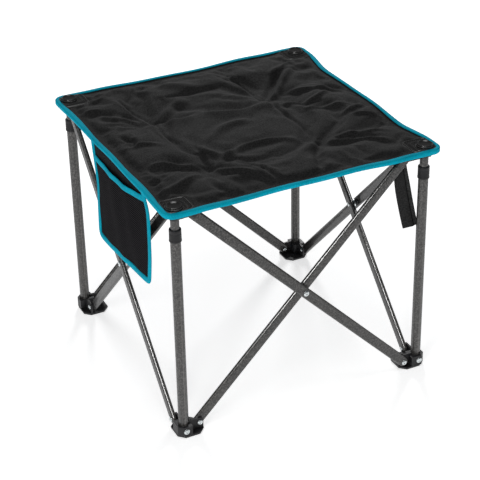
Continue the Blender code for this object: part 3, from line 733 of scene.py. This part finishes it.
def fold_shape(x, y, start, bend, end, width, height, step):
    """Height that one fold adds: a ridge or crease along a curved path, and a step across it."""
    width *= MM
    start, bend, end = (np.array(point) * MM for point in (start, bend, end))
    nearest = np.full(x.shape, 9.0)
    across = np.zeros(x.shape)
    along = np.zeros(x.shape)
    shares = [k / FOLD_STEPS for k in range(FOLD_STEPS + 1)]
    path = [(1 - t) ** 2 * start + 2 * t * (1 - t) * bend + t * t * end for t in shares]
    for k, (a, b) in enumerate(zip(path, path[1:])):
        run = b - a
        length = np.hypot(*run)
        share = np.clip(((x - a[0]) * run[0] + (y - a[1]) * run[1]) / length ** 2, 0, 1)
        dx = x - a[0] - share * run[0]
        dy = y - a[1] - share * run[1]
        distance = np.hypot(dx, dy)
        closer = distance < nearest
        signed = (run[0] * dy - run[1] * dx) / length
        nearest = np.where(closer, distance, nearest)
        across = np.where(closer, np.sign(signed) * distance, across)
        along = np.where(closer, (k + share) / FOLD_STEPS, along)
    taper = smoothstep(along, -0.02, 0.14) * (1 - smoothstep(along, 0.62, 1.0))
    crest = np.exp(-(nearest / width) ** 2) - 0.32 * np.exp(-((nearest - 2.1 * width) / (1.2 * width)) ** 2)
    ledge = np.tanh(across / (0.6 * width)) * np.exp(-(nearest / (5.0 * width)) ** 2)
    return FOLD_GAIN * MM * taper * (height * crest + step * ledge)


def folds(x, y):
    return sum(fold_shape(x, y, *fold) for fold in FOLDS)


def pad_arrays():
    """Grid points of the top and bottom cloths, how tightly each is held, and the faces."""
    half = PAD_HALF - 0.5 * MM
    line = np.linspace(-1, 1, PAD_CELLS + 1)
    gx, gy = np.meshgrid(line * half, line * half, indexing="ij")
    inward = np.maximum(np.abs(gx), np.abs(gy)) / half
    x, y = to_rounded_square(gx, gy, half)
    pull = edge_pull(x, y) * inward ** 6
    draw = 1 - pull / half
    rim = smoothstep(inward, 0.86, 0.965)
    sheets = []
    mid = (FABRIC_Z + BORDER_TOP_Z) / 2
    near_corner = 1 - smoothstep(corner_distance(x, y), PATCH_HALF * 0.92, PATCH_HALF * 1.25)
    tuft = np.exp(-(tuft_distance(x, y) / TUFT_GRIP) ** 2)
    for sign in (1, -1):
        swell = SWELL_UP if sign > 0 else SWELL_DOWN
        z = mid + sign * SEAM_GAP + sign * swell * (1 - rim) * (1 - near_corner) * (1 - tuft)
        z = z + edge_wave(x, y) * smoothstep(inward, 0.6, 1.0)
        z = np.where(near_corner > 0.5, mid + sign * PATCH_GAP, z)
        grips = [smoothstep(inward, 0.945, 0.965), near_corner, smoothstep(tuft, 0.45, 0.75)]
        hold = np.clip(np.maximum.reduce(grips), 0, 1)
        sheets.append((np.stack([x * draw, y * draw, z], -1).reshape(-1, 3), hold.reshape(-1)))
    return sheets


def pad_mesh():
    (top, top_hold), (bottom, bottom_hold) = pad_arrays()
    n = PAD_CELLS + 1
    points = np.concatenate([top, bottom])
    hold = np.concatenate([top_hold, bottom_hold])
    faces = []
    for i in range(PAD_CELLS):
        for j in range(PAD_CELLS):
            a, b, c, d = i * n + j, (i + 1) * n + j, (i + 1) * n + j + 1, i * n + j + 1
            faces.append((a, b, c, d))
            faces.append((d + n * n, c + n * n, b + n * n, a + n * n))
    back = range(PAD_CELLS - 1, -1, -1)
    ring = [i * n for i in range(n)] + [PAD_CELLS * n + j for j in range(1, n)]
    ring += [i * n + PAD_CELLS for i in back] + list(back[:-1])
    for a, b in zip(ring, ring[1:] + ring[:1]):
        faces.append((b, a, a + n * n, b + n * n))
    mesh = bpy.data.meshes.new("pad")
    mesh.from_pydata([tuple(p) for p in points], [], faces)
    return mesh, points, hold


CLOTH_FRAMES = 24
CLOTH = {
    "quality": 7, "mass": 0.25, "tension_stiffness": 18, "compression_stiffness": 18, "shear_stiffness": 8,
    "bending_stiffness": 0.35, "vertex_group_mass": "held", "shrink_min": -0.040,
    "use_pressure": True, "uniform_pressure_force": 0.8,
}


def inflate(mesh, hold):
    """Let the two cloths swell and wrinkle between the places that hold them, then cap the movement."""
    obj = bpy.data.objects.new("pad_cloth", mesh)
    bpy.context.scene.collection.objects.link(obj)
    group = obj.vertex_groups.new(name="held")
    for index, weight in enumerate(hold):
        if weight > 0:
            group.add([index], float(weight), "REPLACE")
    cloth = obj.modifiers.new("cloth", "CLOTH")
    settings = cloth.settings
    for key, value in CLOTH.items():
        setattr(settings, key, value)
    settings.effector_weights.gravity = 0.0
    cloth.collision_settings.use_collision = False
    cloth.point_cache.frame_start = 1
    cloth.point_cache.frame_end = CLOTH_FRAMES
    scene = bpy.context.scene
    for step in range(1, CLOTH_FRAMES + 1):
        scene.frame_set(step)
    evaluated = obj.evaluated_get(bpy.context.evaluated_depsgraph_get())
    result = np.empty(len(mesh.vertices) * 3)
    evaluated.data.vertices.foreach_get("co", result)
    scene.frame_set(1)
    bpy.data.objects.remove(obj)
    return result.reshape(-1, 3)


def blurred(grid, cells):
    """A grid of heights smoothed over so many cells."""
    reach = 3 * cells
    weights = np.exp(-0.5 * (np.arange(-reach, reach + 1) / cells) ** 2)
    weights /= weights.sum()
    for _ in range(2):
        wide = np.pad(grid, ((reach, reach), (0, 0)), mode="edge")
        grid = sum(weight * wide[k:k + grid.shape[0]] for k, weight in enumerate(weights)).T
    return grid


def soft_limit(value, limit, room):
    """Ease a height towards a ceiling, starting one room below it."""
    over = np.maximum(value - (limit - room), 0)
    return np.where(over > 0, limit - room * np.exp(-over / room), value)


def settle(swollen, rest):
    """Shape the finished cloths: broad swell calmed, fine wrinkles kept, then sag and folds."""
    n = PAD_CELLS + 1
    sheets = []
    for index, sign in ((0, 1), (1, -1)):
        still = rest.reshape(2, n, n, 3)[index]
        move = swollen.reshape(2, n, n, 3)[index] - still
        inward = np.maximum(np.abs(still[..., 0]), np.abs(still[..., 1])) / PAD_HALF
        free = 1 - smoothstep(inward, 0.90, 0.945)
        broad = blurred(move[..., 2], 5)
        sheet = still.copy()
        sheet[..., :2] += np.clip(move[..., :2], -SIDE_CREEP, SIDE_CREEP) * free[..., None]
        sheet[..., 2] += free * (BROAD_SHARE * broad + FINE_SHARE * (move[..., 2] - broad))
        x, y = sheet[..., 0], sheet[..., 1]
        corner = 1 - smoothstep(corner_distance(x, y), PATCH_HALF * 1.0, PATCH_HALF * 1.5)
        loose = (1 - smoothstep(inward, 0.93, 0.962)) * (1 - corner)
        sheet[..., 2] -= SAG * np.clip(1 - inward ** 2, 0, 1) * (1 - corner)
        if sign > 0:
            away = tuft_distance(x, y)
            dip = TUFT_DIP * np.exp(-(away / TUFT_REACH) ** 2)
            pinch = TUFT_PINCH * np.exp(-(away / PINCH_REACH) ** 2)
            sheet[..., 2] += loose * (folds(x, y) - (dip + pinch))
            sheet[..., 2] = soft_limit(sheet[..., 2], CROWN_Z, 4.0 * MM)
        else:
            post = np.hypot(np.abs(x) - POST_X, np.abs(y) - POST_X)
            floor = FABRIC_Z - 0.2 * MM - UNDER_SAG * smoothstep(post, 0.055, 0.16)
            sheet[..., 2] = -soft_limit(-sheet[..., 2], -floor, 4.0 * MM)
        sheets.append(sheet)
    top, bottom = sheets
    thin = np.maximum(THINNEST - (top[..., 2] - bottom[..., 2]), 0) / 2
    top[..., 2] += thin
    bottom[..., 2] -= thin
    return np.stack(sheets).reshape(-1, 3)


def finished_pad():
    mesh, rest, hold = pad_mesh()
    swollen = inflate(mesh.copy(), hold)
    mesh.vertices.foreach_set("co", settle(swollen, rest).reshape(-1))
    mesh.update()
    result = applied(mesh, "SUBSURF", levels=1, render_levels=1)
    result.shade_smooth()
    return result


# ---------------------------------------------------------------- cutting soft goods at the creases


def remember_normals(mesh):
    """Store each point's normal, so cut pieces still shade as one cloth."""
    normals = np.empty(len(mesh.vertices) * 3, np.float32)
    mesh.vertices.foreach_get("normal", normals)
    layer = mesh.attributes.new("whole_normal", "FLOAT_VECTOR", "POINT")
    layer.data.foreach_set("vector", normals)


def cut_out(mesh, name, planes):
    """The part of a closed mesh in front of every (point, normal) plane, closed again where it was cut."""
    bm = bmesh.new()
    bm.from_mesh(mesh)
    layer = bm.verts.layers.float_vector["whole_normal"]
    capped = bm.faces.layers.int.new("capped")
    for point, normal in planes:
        geometry = bm.verts[:] + bm.edges[:] + bm.faces[:]
        result = bmesh.ops.bisect_plane(
            bm, geom=geometry, plane_co=point, plane_no=normal, clear_inner=True, dist=1e-7,
        )
        cut_edges = [item for item in result["geom_cut"] if isinstance(item, bmesh.types.BMEdge)]
        rim = [edge for edge in cut_edges if edge.is_boundary]
        if rim:
            before = set(bm.faces)
            bmesh.ops.holes_fill(bm, edges=rim, sides=0)
            fresh = [face for face in bm.faces if face not in before]
            for face in bmesh.ops.triangulate(bm, faces=fresh)["faces"]:
                face[capped] = 1
    loose = [vert for vert in bm.verts if not vert.link_faces]
    bmesh.ops.delete(bm, geom=loose, context="VERTS")
    bm.normal_update()
    normals = []
    for face in bm.faces:
        face.smooth = True
        for loop in face.loops:
            normal = face.normal if face[capped] else Vector(loop.vert[layer]).normalized()
            normals.append(tuple(normal))
    result = bpy.data.meshes.new(name)
    bm.to_mesh(result)
    bm.free()
    result.normals_split_custom_set(normals)
    for attribute in ("whole_normal", "capped"):
        if attribute in result.attributes:
            result.attributes.remove(result.attributes[attribute])
    return result


def turned(turns, *vectors):
    """Vectors turned by so many quarter turns, as plain tuples."""
    return tuple(tuple(quarter(turns) @ Vector(vector)) for vector in vectors)


def soft_piece(name, mesh, look, body, replaces=(), along=None):
    """A piece of cloth. along is the (side, half) of a half side; when it is given, the piece gets a mesh of
    its own.
    """
    obj = piece(name, mesh, look, body, replaces)
    if along:
        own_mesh(obj)


def half_sides():
    """Each half of each side: the side's number, the half, the name, the corner block and two planes.

    The planes keep what lies between the side's middle and its corner block.
    """
    for side in range(4):
        for half, word in enumerate(HALVES):
            sign = SIGNS[half]
            planes = [
                turned(side, (0, 0, 0), (sign, 0, 0)),
                turned(side, (sign * PANEL_HALF, 0, 0), (-sign, 0, 0)),
            ]
            yield side, half, f"{SIDES[side]}_{word}", "top_" + CORNERS[(side + half) % 4], planes


def split_margin(mesh, name, look, replaces=()):
    """Cut a ring round the top into four corner pieces and eight half sides."""
    for i, corner in enumerate(CORNERS):
        planes = [
            turned(i, (-PANEL_HALF, 0, 0), (-1, 0, 0)),
            turned(i, (0, -PANEL_HALF, 0), (0, -1, 0)),
        ]
        label = f"{name}_{corner}"
        soft_piece(label, cut_out(mesh, label, planes), look, "top_" + corner, replaces)
    for side, half, word, block, planes in half_sides():
        edge = turned(side, (0, -PANEL_HALF, 0), (0, -1, 0))
        label = f"{name}_{word}"
        soft_piece(label, cut_out(mesh, label, planes + [edge]), look, block, replaces, (side, half))


def split_panels(mesh, name, look):
    """Cut the middle of the top into eight triangles, each on its own panel body."""
    for side, half, word, _, planes in half_sides():
        sign = SIGNS[half]
        edge = turned(side, (0, -PANEL_HALF, 0), (0, 1, 0))
        diagonal = turned(side, (0, 0, 0), Vector((-sign, -1, 0)).normalized())
        label = f"{name}_{word}"
        part = cut_out(mesh, label, [planes[0], edge, diagonal])
        soft_piece(label, part, look, "panel_" + word, ["pad_panel_" + word], (side, half))


# ---------------------------------------------------------------- tape, stitches and corner patches


def edge_path(half, per_side=44, round_steps=8):
    """Points and outward directions round the top's edge, counter-clockwise."""
    reach = half - EDGE_ROUND
    path = []
    for i in range(4):
        turn = quarter(i)
        for k in range(per_side):
            x = -reach + 2 * reach * k / per_side
            path.append((turn @ Vector((x, -half, 0)), turn @ Vector((0, -1, 0))))
        for k in range(round_steps):
            angle = math.radians(-90 + 90 * k / round_steps)
            out = Vector((math.cos(angle), math.sin(angle), 0))
            path.append((turn @ (Vector((reach, -reach, 0)) + out * EDGE_ROUND), turn @ out))
    return path


def follow_edge(point, out, offset, height):
    """A point beside the seam: offset outward and up from it, with the seam's own waviness."""
    x, y = np.array(point.x), np.array(point.y)
    pull = float(edge_pull(x, y))
    rise = float(edge_wave(x, y))
    where = point + out * (offset - pull)
    return (where.x, where.y, height + rise)


def binding_mesh():
    """The tape: folded round the edge, a little fuller at the fold than along its sewn sides."""
    thick = 0.9 * MM
    shape = ((-1.0, 0.90), (-0.75, 1.02), (-0.40, 1.05), (-0.14, 0.98), (0.0, 0.68), (0.0, 0.0))
    outer = [(offset, share * EDGE_TALL) for offset, share in shape]
    inner = []
    for offset, share in shape:
        back = 0.1 if offset > -0.1 else 0
        sunk = thick if share > 0.7 else 0
        inner.append((offset - back, share * EDGE_TALL - sunk))
    right = outer + [(offset, -height) for offset, height in reversed(outer[:-1])]
    left = inner + [(offset, -height) for offset, height in reversed(inner[:-1])]
    section = right + list(reversed(left))
    loops = []
    for point, out in edge_path(EDGE_HALF):
        reach = float(tape_reach(point.x, point.y))
        fall = float(tape_fall(point.x, point.y))
        loops.append([
            follow_edge(point, out, share * reach, EDGE_MIDDLE + height - (fall if height < 0 else 0))
            for share, height in section
        ])
    return skin("binding", loops, angle=50)


STITCH_LENGTH = 3.0 * MM
STITCH_RADIUS = 0.32 * MM
STITCH_LINE = -0.80          # of the tape's reach
STITCH_RINGS = 7
STITCH_STEPS = 6


def stitch_rings():
    """One stitch: a short rounded thread along X, sunk into the tape at its ends."""
    loops = []
    for k in range(STITCH_RINGS):
        t = -1 + 2 * k / (STITCH_RINGS - 1)
        radius = STITCH_RADIUS * max(0.15, math.sqrt(max(0.0, 1 - t * t)))
        sink = -0.35 * STITCH_RADIUS * t * t
        angles = [2 * math.pi * m / STITCH_STEPS for m in range(STITCH_STEPS)]
        ring = [(radius * math.cos(a), sink + radius * math.sin(a)) for a in angles]
        loops.append([(STITCH_LENGTH / 2 * t, y, z) for y, z in ring])
    return loops


def row_of_stitches(name, places):
    """Many stitches in one mesh.  Each place is (position, direction, up)."""
    bm = bmesh.new()
    rings = stitch_rings()
    for position, direction, up in places:
        side = up.cross(direction).normalized()
        basis = Matrix((direction.normalized(), side, up.normalized())).transposed()
        rows = [[bm.verts.new(basis @ Vector(p) + position) for p in ring] for ring in rings]
        for a, b in zip(rows, rows[1:]):
            for i in range(STITCH_STEPS):
                j = (i + 1) % STITCH_STEPS
                bm.faces.new((a[i], b[i], b[j], a[j]))
        bm.faces.new(rows[0])
        bm.faces.new(list(reversed(rows[-1])))
    return to_mesh(bm, name, 80)


def edge_stitches(face):
    """Sewing along the tape's inner margin, above (face 1) or below (face -1), round the whole edge."""
    height = EDGE_MIDDLE + face * (EDGE_TALL * 0.99 + 0.05 * MM)
    path = edge_path(EDGE_HALF, per_side=125, round_steps=7)
    line = []
    for point, out in path:
        offset = STITCH_LINE * float(tape_reach(point.x, point.y))
        line.append(Vector(follow_edge(point, out, offset, height)))
    places = []
    for here, there in zip(line, line[1:] + line[:1]):
        if (there - here).length > 1.0 * MM:
            places.append(((here + there) / 2, there - here, Vector((0, 0, face))))
    return places


def split_stitches(name, places, look):
    """Sort stitches onto the corner blocks and half sides they are sewn to."""
    groups = {}
    for place in places:
        x, y = place[0].x, place[0].y
        if abs(x) > PANEL_HALF and abs(y) > PANEL_HALF:
            corner = (0 if x < 0 else 1) if y < 0 else (3 if x < 0 else 2)
            key = (0, corner, 0)
        else:
            side = (0 if y < 0 else 2) if abs(y) > abs(x) else (1 if x > 0 else 3)
            key = (1, side, int((quarter(-side) @ place[0]).x > 0))
        groups.setdefault(key, []).append(place)
    for (on_side, index, half), members in sorted(groups.items()):
        word = f"{SIDES[index]}_{HALVES[half]}" if on_side else CORNERS[index]
        body = "top_" + CORNERS[(index + half) % 4]
        mesh = row_of_stitches(f"{name}_{word}", members)
        soft_piece(f"{name}_{word}", mesh, look, body, along=(index, half) if on_side else None)


def patch_loop(half, height, square, steps=48):
    """A closed loop between a circle (square = 0) and a rounded square (square = 1)."""
    power = 2 + 5 * square
    loop = []
    for k in range(steps):
        angle = 2 * math.pi * k / steps
        c, s = math.cos(angle), math.sin(angle)
        radius = half / (abs(c) ** power + abs(s) ** power) ** (1 / power)
        x = max(radius * c + PATCH_SHIFT * square, -PATCH_OUTER)
        y = max(radius * s + PATCH_SHIFT * square, -PATCH_OUTER)
        loop.append((x, y, height))
    return loop


def patch_mesh():
    """The pressed plate under each button: a stepped, rounded square with a round hole."""
    base = BORDER_TOP_Z
    hole = 16.9 * MM
    rings = 26
    loops = [patch_loop(hole, base - 0.3 * MM, 0.0)]
    for k in range(rings + 1):
        half = hole + (PATCH_HALF - hole) * k / rings
        square = float(smoothstep(half, hole, hole + 5.0 * MM))
        height = 0.5 * MM
        for middle, reach, rise in PATCH_RIDGES:
            share = min(1.0, abs(half - middle) / reach)
            height += rise * math.cos(math.pi / 2 * share) ** 2
        loops.append(patch_loop(half, base + height, square))
    loops.append(patch_loop(PATCH_HALF, base - 0.3 * MM, 1.0))
    return skin("patch", loops, angle=80)


def build_top():
    pad = finished_pad()
    remember_normals(pad)
    split_margin(pad, "cover", "fabric", ["pad_border"])
    split_panels(pad, "cushion", "fabric")
    tape_mesh = binding_mesh()
    remember_normals(tape_mesh)
    split_margin(tape_mesh, "trim", "teal", ["edge_binding"])
    split_stitches("sewing_top", edge_stitches(1), "stitch")
    split_stitches("sewing_under", edge_stitches(-1), "stitch")
    patch = patch_mesh()
    for i, corner in enumerate(CORNERS):
        piece("patch_" + corner, moved(patch, corner_frame(i)), "patch", "top_" + corner)


# ---------------------------------------------------------------- the pocket and the strap


POCKET_LOW, POCKET_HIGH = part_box("side_pocket")
POCKET_X = POCKET_HIGH.x - 1.0 * MM
RIM_DROP_BACK = 34.0 * MM
RIM_DROP_FRONT = 14.0 * MM
BACK_BULGE = 0.6 * MM
MESH_BULGE = 7.5 * MM
BACK_CLOTH = 0.9 * MM        # thickness of the pocket's back
MESH_CLOTH = 0.8 * MM
TAPE_STEPS = 12
POCKET_STEPS = 40
POCKET_TAPE = (12.5 * MM, 3.4 * MM)      # width and fullness of the tape round the pocket
RIM_TAPE = (12.0 * MM, 2.6 * MM)         # and of the one along its mouth


def pocket_edges(t):
    """Front and back edges (y) of the pocket at depth t, 0 at the table's edge and 1 at the bottom."""
    belly = math.sin(math.pi * min(1.0, t))
    front = 22.0 * (1 - min(1.0, t / 0.22)) ** 1.6 - 6.0 * belly
    back = 16.0 * (1 - min(1.0, t / 0.45)) - 4.0 * belly
    return POCKET_LOW.y + front * MM, POCKET_HIGH.y + back * MM


def pocket_depth(u):
    """Depth of the pocket's bottom seam, deeper at the back."""
    full = POCKET_HIGH.z - POCKET_LOW.z
    return full - 20.0 * MM * (1 - u) ** 1.4


def pocket_point(u, v, bulge):
    """u runs from front to back and v from the table's edge down to the seam."""
    front, back = pocket_edges(v)
    y = front + (back - front) * u
    z = POCKET_HIGH.z - v * pocket_depth(u)
    across = math.sin(math.pi * min(max(u, 0), 1)) ** 0.7
    down = math.sin(math.pi * min(1.0, 0.12 + 0.88 * v)) ** 0.8
    ripple = 0.8 * math.sin(21 * u + 4.0 * v) * math.sin(math.pi * u) + 0.6 * math.sin(9 * u - 11 * v)
    lean = 3.0 * MM * v
    swell = bulge * across * down + ripple * (0.4 * MM + bulge / 10)
    return Vector((POCKET_X - lean - swell, y, z))


def sheet(name, point, u_count, v_count, thickness, v_start=None):
    """A closed sheet between two faces; v_start(u) is where the sheet begins."""
    rows = []
    for i in range(u_count + 1):
        u = i / u_count
        first = v_start(u) if v_start else 0.0
        rows.append([point(u, first + (1 - first) * j / v_count) for j in range(v_count + 1)])
    bm = bmesh.new()
    front = [[bm.verts.new(p) for p in row] for row in rows]
    back = [[bm.verts.new(p + Vector((thickness, 0, 0))) for p in row] for row in rows]
    for i in range(u_count):
        for j in range(v_count):
            bm.faces.new((front[i][j], front[i + 1][j], front[i + 1][j + 1], front[i][j + 1]))
            bm.faces.new((back[i][j], back[i][j + 1], back[i + 1][j + 1], back[i + 1][j]))
    for a in (0, u_count):
        for j in range(v_count):
            bm.faces.new((front[a][j], front[a][j + 1], back[a][j + 1], back[a][j]))
    for j in (0, v_count):
        for i in range(u_count):
            bm.faces.new((front[i][j], back[i][j], back[i + 1][j], front[i + 1][j]))
    return to_mesh(bm, name, 50)


def tape_strip(name, centres, outs, width, fullness):
    """A folded tape along a line: a flattened oval section that wraps the edge it follows."""
    loops = []
    for index, centre in enumerate(centres):
        before = centres[max(0, index - 1)]
        after = centres[min(len(centres) - 1, index + 1)]
        along = (after - before).normalized()
        out = outs[index]
        out = (out - along * out.dot(along)).normalized()
        side = along.cross(out)
        ring = []
        for k in range(TAPE_STEPS):
            angle = 2 * math.pi * k / TAPE_STEPS
            c, s = math.cos(angle), math.sin(angle)
            wide = width / 2 * math.copysign(abs(c) ** 0.6, c)
            deep = fullness / 2 * math.copysign(abs(s) ** 0.7, s)
            ring.append(centre + out * wide + side * deep)
        loops.append(ring)
    return skin(name, loops, close_path=False, cap_ends=True, angle=60)


def rim_start(u):
    drop = RIM_DROP_FRONT + (RIM_DROP_BACK - RIM_DROP_FRONT) * u + 6.0 * MM * math.sin(math.pi * u) ** 1.2
    return drop / pocket_depth(u)


def pocket_front(u, v):
    return pocket_point(u, v, MESH_BULGE)


def pocket_back(u, v):
    return pocket_point(u, v, BACK_BULGE)


def split_pocket(mesh, name, look, replaces=()):
    """The pocket crosses the left side's middle, so each piece is cut there, and each half rides on its own
    corner block.
    """
    remember_normals(mesh)
    for side, half, _, block, planes in half_sides():
        if SIDES[side] == "left":
            label = f"{name}_{HALVES[half]}"
            soft_piece(label, cut_out(mesh, label, planes[:1]), look, block, replaces, (side, half))


def build_pocket():
    back = sheet("pocket_back", pocket_back, 60, 44, BACK_CLOTH)
    front = sheet("pocket_front", pocket_front, 72, 48, MESH_CLOTH, rim_start)
    split_pocket(back, "pocket_back", "pocket", ["side_pocket"])
    split_pocket(front, "pocket_mesh", "mesh")
    shares = [k / POCKET_STEPS for k in range(POCKET_STEPS + 1)]
    line = [pocket_point(0, v, 0) for v in shares]
    line += [pocket_point(u, 1, 0) for u in shares[1:-1]]
    line += [pocket_point(1, 1 - v, 0) for v in shares]
    for _ in range(5):
        inside = [(a + 2 * b + c) / 4 for a, b, c in zip(line, line[1:], line[2:])]
        line = [line[0]] + inside + [line[-1]]
    middle = (POCKET_LOW + POCKET_HIGH) / 2
    outs = [Vector((0, p.y - middle.y, p.z - middle.z)).normalized() for p in line]
    shifted = [p + Vector((-0.2 * MM, 0, 0)) for p in line]
    split_pocket(tape_strip("pocket_tape", shifted, outs, *POCKET_TAPE), "pocket_trim", "teal")
    rim = [pocket_front(u, rim_start(u)) + Vector((0.3 * MM, 0, 0)) for u in shares]
    up = [Vector((0, 0, 1))] * len(rim)
    split_pocket(tape_strip("rim_tape", rim, up, *RIM_TAPE), "pocket_rim", "teal")


STRAP_LOW, STRAP_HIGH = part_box("closure_strap")
STRAP_HALF = 17.0 * MM
STRAP_THICK = 0.9 * MM
STRAP_STEPS = 40
STRAP_ACROSS = 12


def strap_layer(name, left, right, front):
    """One layer of the strap.  left and right are shares of its half width, front its face's place in y."""
    travel = STRAP_HIGH.x - STRAP_LOW.x - 2 * STRAP_HALF
    loops = []
    for k in range(STRAP_STEPS + 1):
        t = k / STRAP_STEPS
        centre = STRAP_LOW.x + STRAP_HALF + travel * (0.55 * t + 0.45 * t * t)
        half = STRAP_HALF - 4.0 * MM * (1 - float(smoothstep(t, 0.0, 0.55)))
        z = STRAP_HIGH.z - (STRAP_HIGH.z - STRAP_LOW.z) * t
        sway = 0.5 * MM * math.sin(5.0 * t + 0.6)
        face = []
        for m in range(STRAP_ACROSS + 1):
            share = left + (right - left) * m / STRAP_ACROSS
            edge = min(m, STRAP_ACROSS - m) / STRAP_ACROSS
            crown = 0.45 * MM * (1 - math.exp(-edge / 0.06))
            cupped = 0.35 * MM * math.cos(2.4 * share + 2.0 * t)
            face.append((centre + half * share, front + sway + cupped - crown, crown))
        ring = [Vector((x, y, z)) for x, y, crown in face]
        ring += [Vector((x, y + STRAP_THICK + 2 * crown, z)) for x, y, crown in reversed(face)]
        loops.append(ring)
    return skin(name, loops, close_path=False, cap_ends=True, angle=50)


def build_strap():
    """A doubled strap: the front layer leaves the right third of the back one showing. A near-black strip
    along the front layer's edge is a painted shadow, and the back layer is painted lighter as painted light.
    """
    front = STRAP_LOW.y + 0.4 * MM
    layers = (
        ("strap", -1.0, 0.34, 0.0, "strap", ["closure_strap"]),
        # The near-black strip is a painted shadow of the front layer's edge.
        ("strap_painted_shadow", 0.32, 0.46, 0.5, "fold", ()),
        # The back layer uses the lighter copy of the strap fabric: painted light.
        ("strap_back", -0.94, 1.0, 2.2, "lit_strap", ()),
    )
    for name, left, right, behind, look, replaces in layers:
        mesh = strap_layer(name, left, right, front + behind * MM)
        piece(name, mesh, look, "top_front_right", replaces)


# ---------------------------------------------------------------- studio


CAMERA_AZIMUTH = math.radians(-25.84)
CAMERA_ELEVATION = math.radians(29.39)
CAMERA_DISTANCE = 3.0015
CAMERA_ROLL = math.radians(-1.13)
CAMERA_LENS = 114.76
CAMERA_SHIFT = (-0.0060, -0.0189)
AIM = Vector((0, 0, 0.24))


def build_camera():
    data = bpy.data.cameras.new("camera")
    data.lens = CAMERA_LENS
    data.sensor_width = 36
    data.shift_x, data.shift_y = CAMERA_SHIFT
    camera = bpy.data.objects.new("camera", data)
    bpy.context.scene.collection.objects.link(camera)
    flat = math.cos(CAMERA_ELEVATION)
    x, y = math.sin(CAMERA_AZIMUTH) * flat, -math.cos(CAMERA_AZIMUTH) * flat
    back = Vector((x, y, math.sin(CAMERA_ELEVATION)))
    right = Vector((0, 0, 1)).cross(back).normalized()
    up = back.cross(right)
    tilted = math.cos(CAMERA_ROLL) * right + math.sin(CAMERA_ROLL) * up
    upright = -math.sin(CAMERA_ROLL) * right + math.cos(CAMERA_ROLL) * up
    basis = Matrix((tilted, upright, back)).transposed().to_4x4()
    camera.matrix_world = Matrix.Translation(AIM + back * CAMERA_DISTANCE) @ basis
    bpy.context.scene.camera = camera


# Lights: name, place, height of the point they face, diameter, power, and the pieces they light
LIGHTS = (
    ("top", (-0.2, -0.5, 2.7), 0.2, 1.0, 10, None),
    ("key", (-2.0, -1.7, 1.7), 0.3, 0.9, 15, None),
    ("glint_right", (1.15, -1.45, 2.6), 0.2, 0.8, 28, "metal"),
    ("glint_left", (-2.0, -1.7, 2.05), 0.2, 0.9, 80, "metal"),
    ("rake", (1.3, 2.5, 1.6), 0.3, 0.7, 38, "cloth"),
    ("rings", (-0.2, -0.5, 2.7), 0.2, 2.0, 26, "gloss"),
)
FLOOR_HALF = 9.0
WORLD_STRENGTH = 0.15


def area_light(name, place, aim_z, size, power):
    data = bpy.data.lights.new(name, "AREA")
    data.shape = "DISK"
    data.size = size
    data.energy = power
    light = bpy.data.objects.new(name, data)
    light.location = place
    light.rotation_euler = (Vector((0, 0, aim_z)) - Vector(place)).to_track_quat("-Z", "Y").to_euler()
    bpy.context.scene.collection.objects.link(light)
    return light


def lit_groups():
    """Pieces sorted by the light they need: painted metal, glossy plastic on the top, and the rest."""
    groups = {name: bpy.data.collections.new(name) for name in ("metal", "cloth", "gloss")}
    for obj in bpy.context.scene.objects:
        if obj.name.startswith(("bar_", "tube_")):
            group = "metal"
        elif obj.name.startswith(("patch_", "button_")):
            group = "gloss"
        else:
            group = "cloth"
        groups[group].objects.link(obj)
    return groups


def build_studio():
    mesh = bpy.data.meshes.new("floor")
    corners = [(x * FLOOR_HALF, y * FLOOR_HALF, 0) for x, y in ((-1, -1), (1, -1), (1, 1), (-1, 1))]
    mesh.from_pydata(corners, [], [(0, 1, 2, 3)])
    mesh.materials.append(studio_floor())
    floor = bpy.data.objects.new("floor", mesh)
    floor.location.z = -0.2 * MM
    bpy.context.scene.collection.objects.link(floor)
    world = bpy.data.worlds.new("studio")
    world.use_nodes = True
    sky = world.node_tree.nodes["Background"].inputs
    sky["Color"].default_value = (1.0, 1.0, 1.0, 1.0)
    sky["Strength"].default_value = WORLD_STRENGTH
    bpy.context.scene.world = world
    bpy.context.scene.view_settings.view_transform = "Standard"
    lights = [(area_light(*row[:-1]), row[-1]) for row in LIGHTS]
    groups = lit_groups()
    for light, group in lights:
        if group:
            light.light_linking.receiver_collection = groups[group]


build_frame_parts()
build_top()
build_pocket()
build_strap()
build_camera()
build_studio()
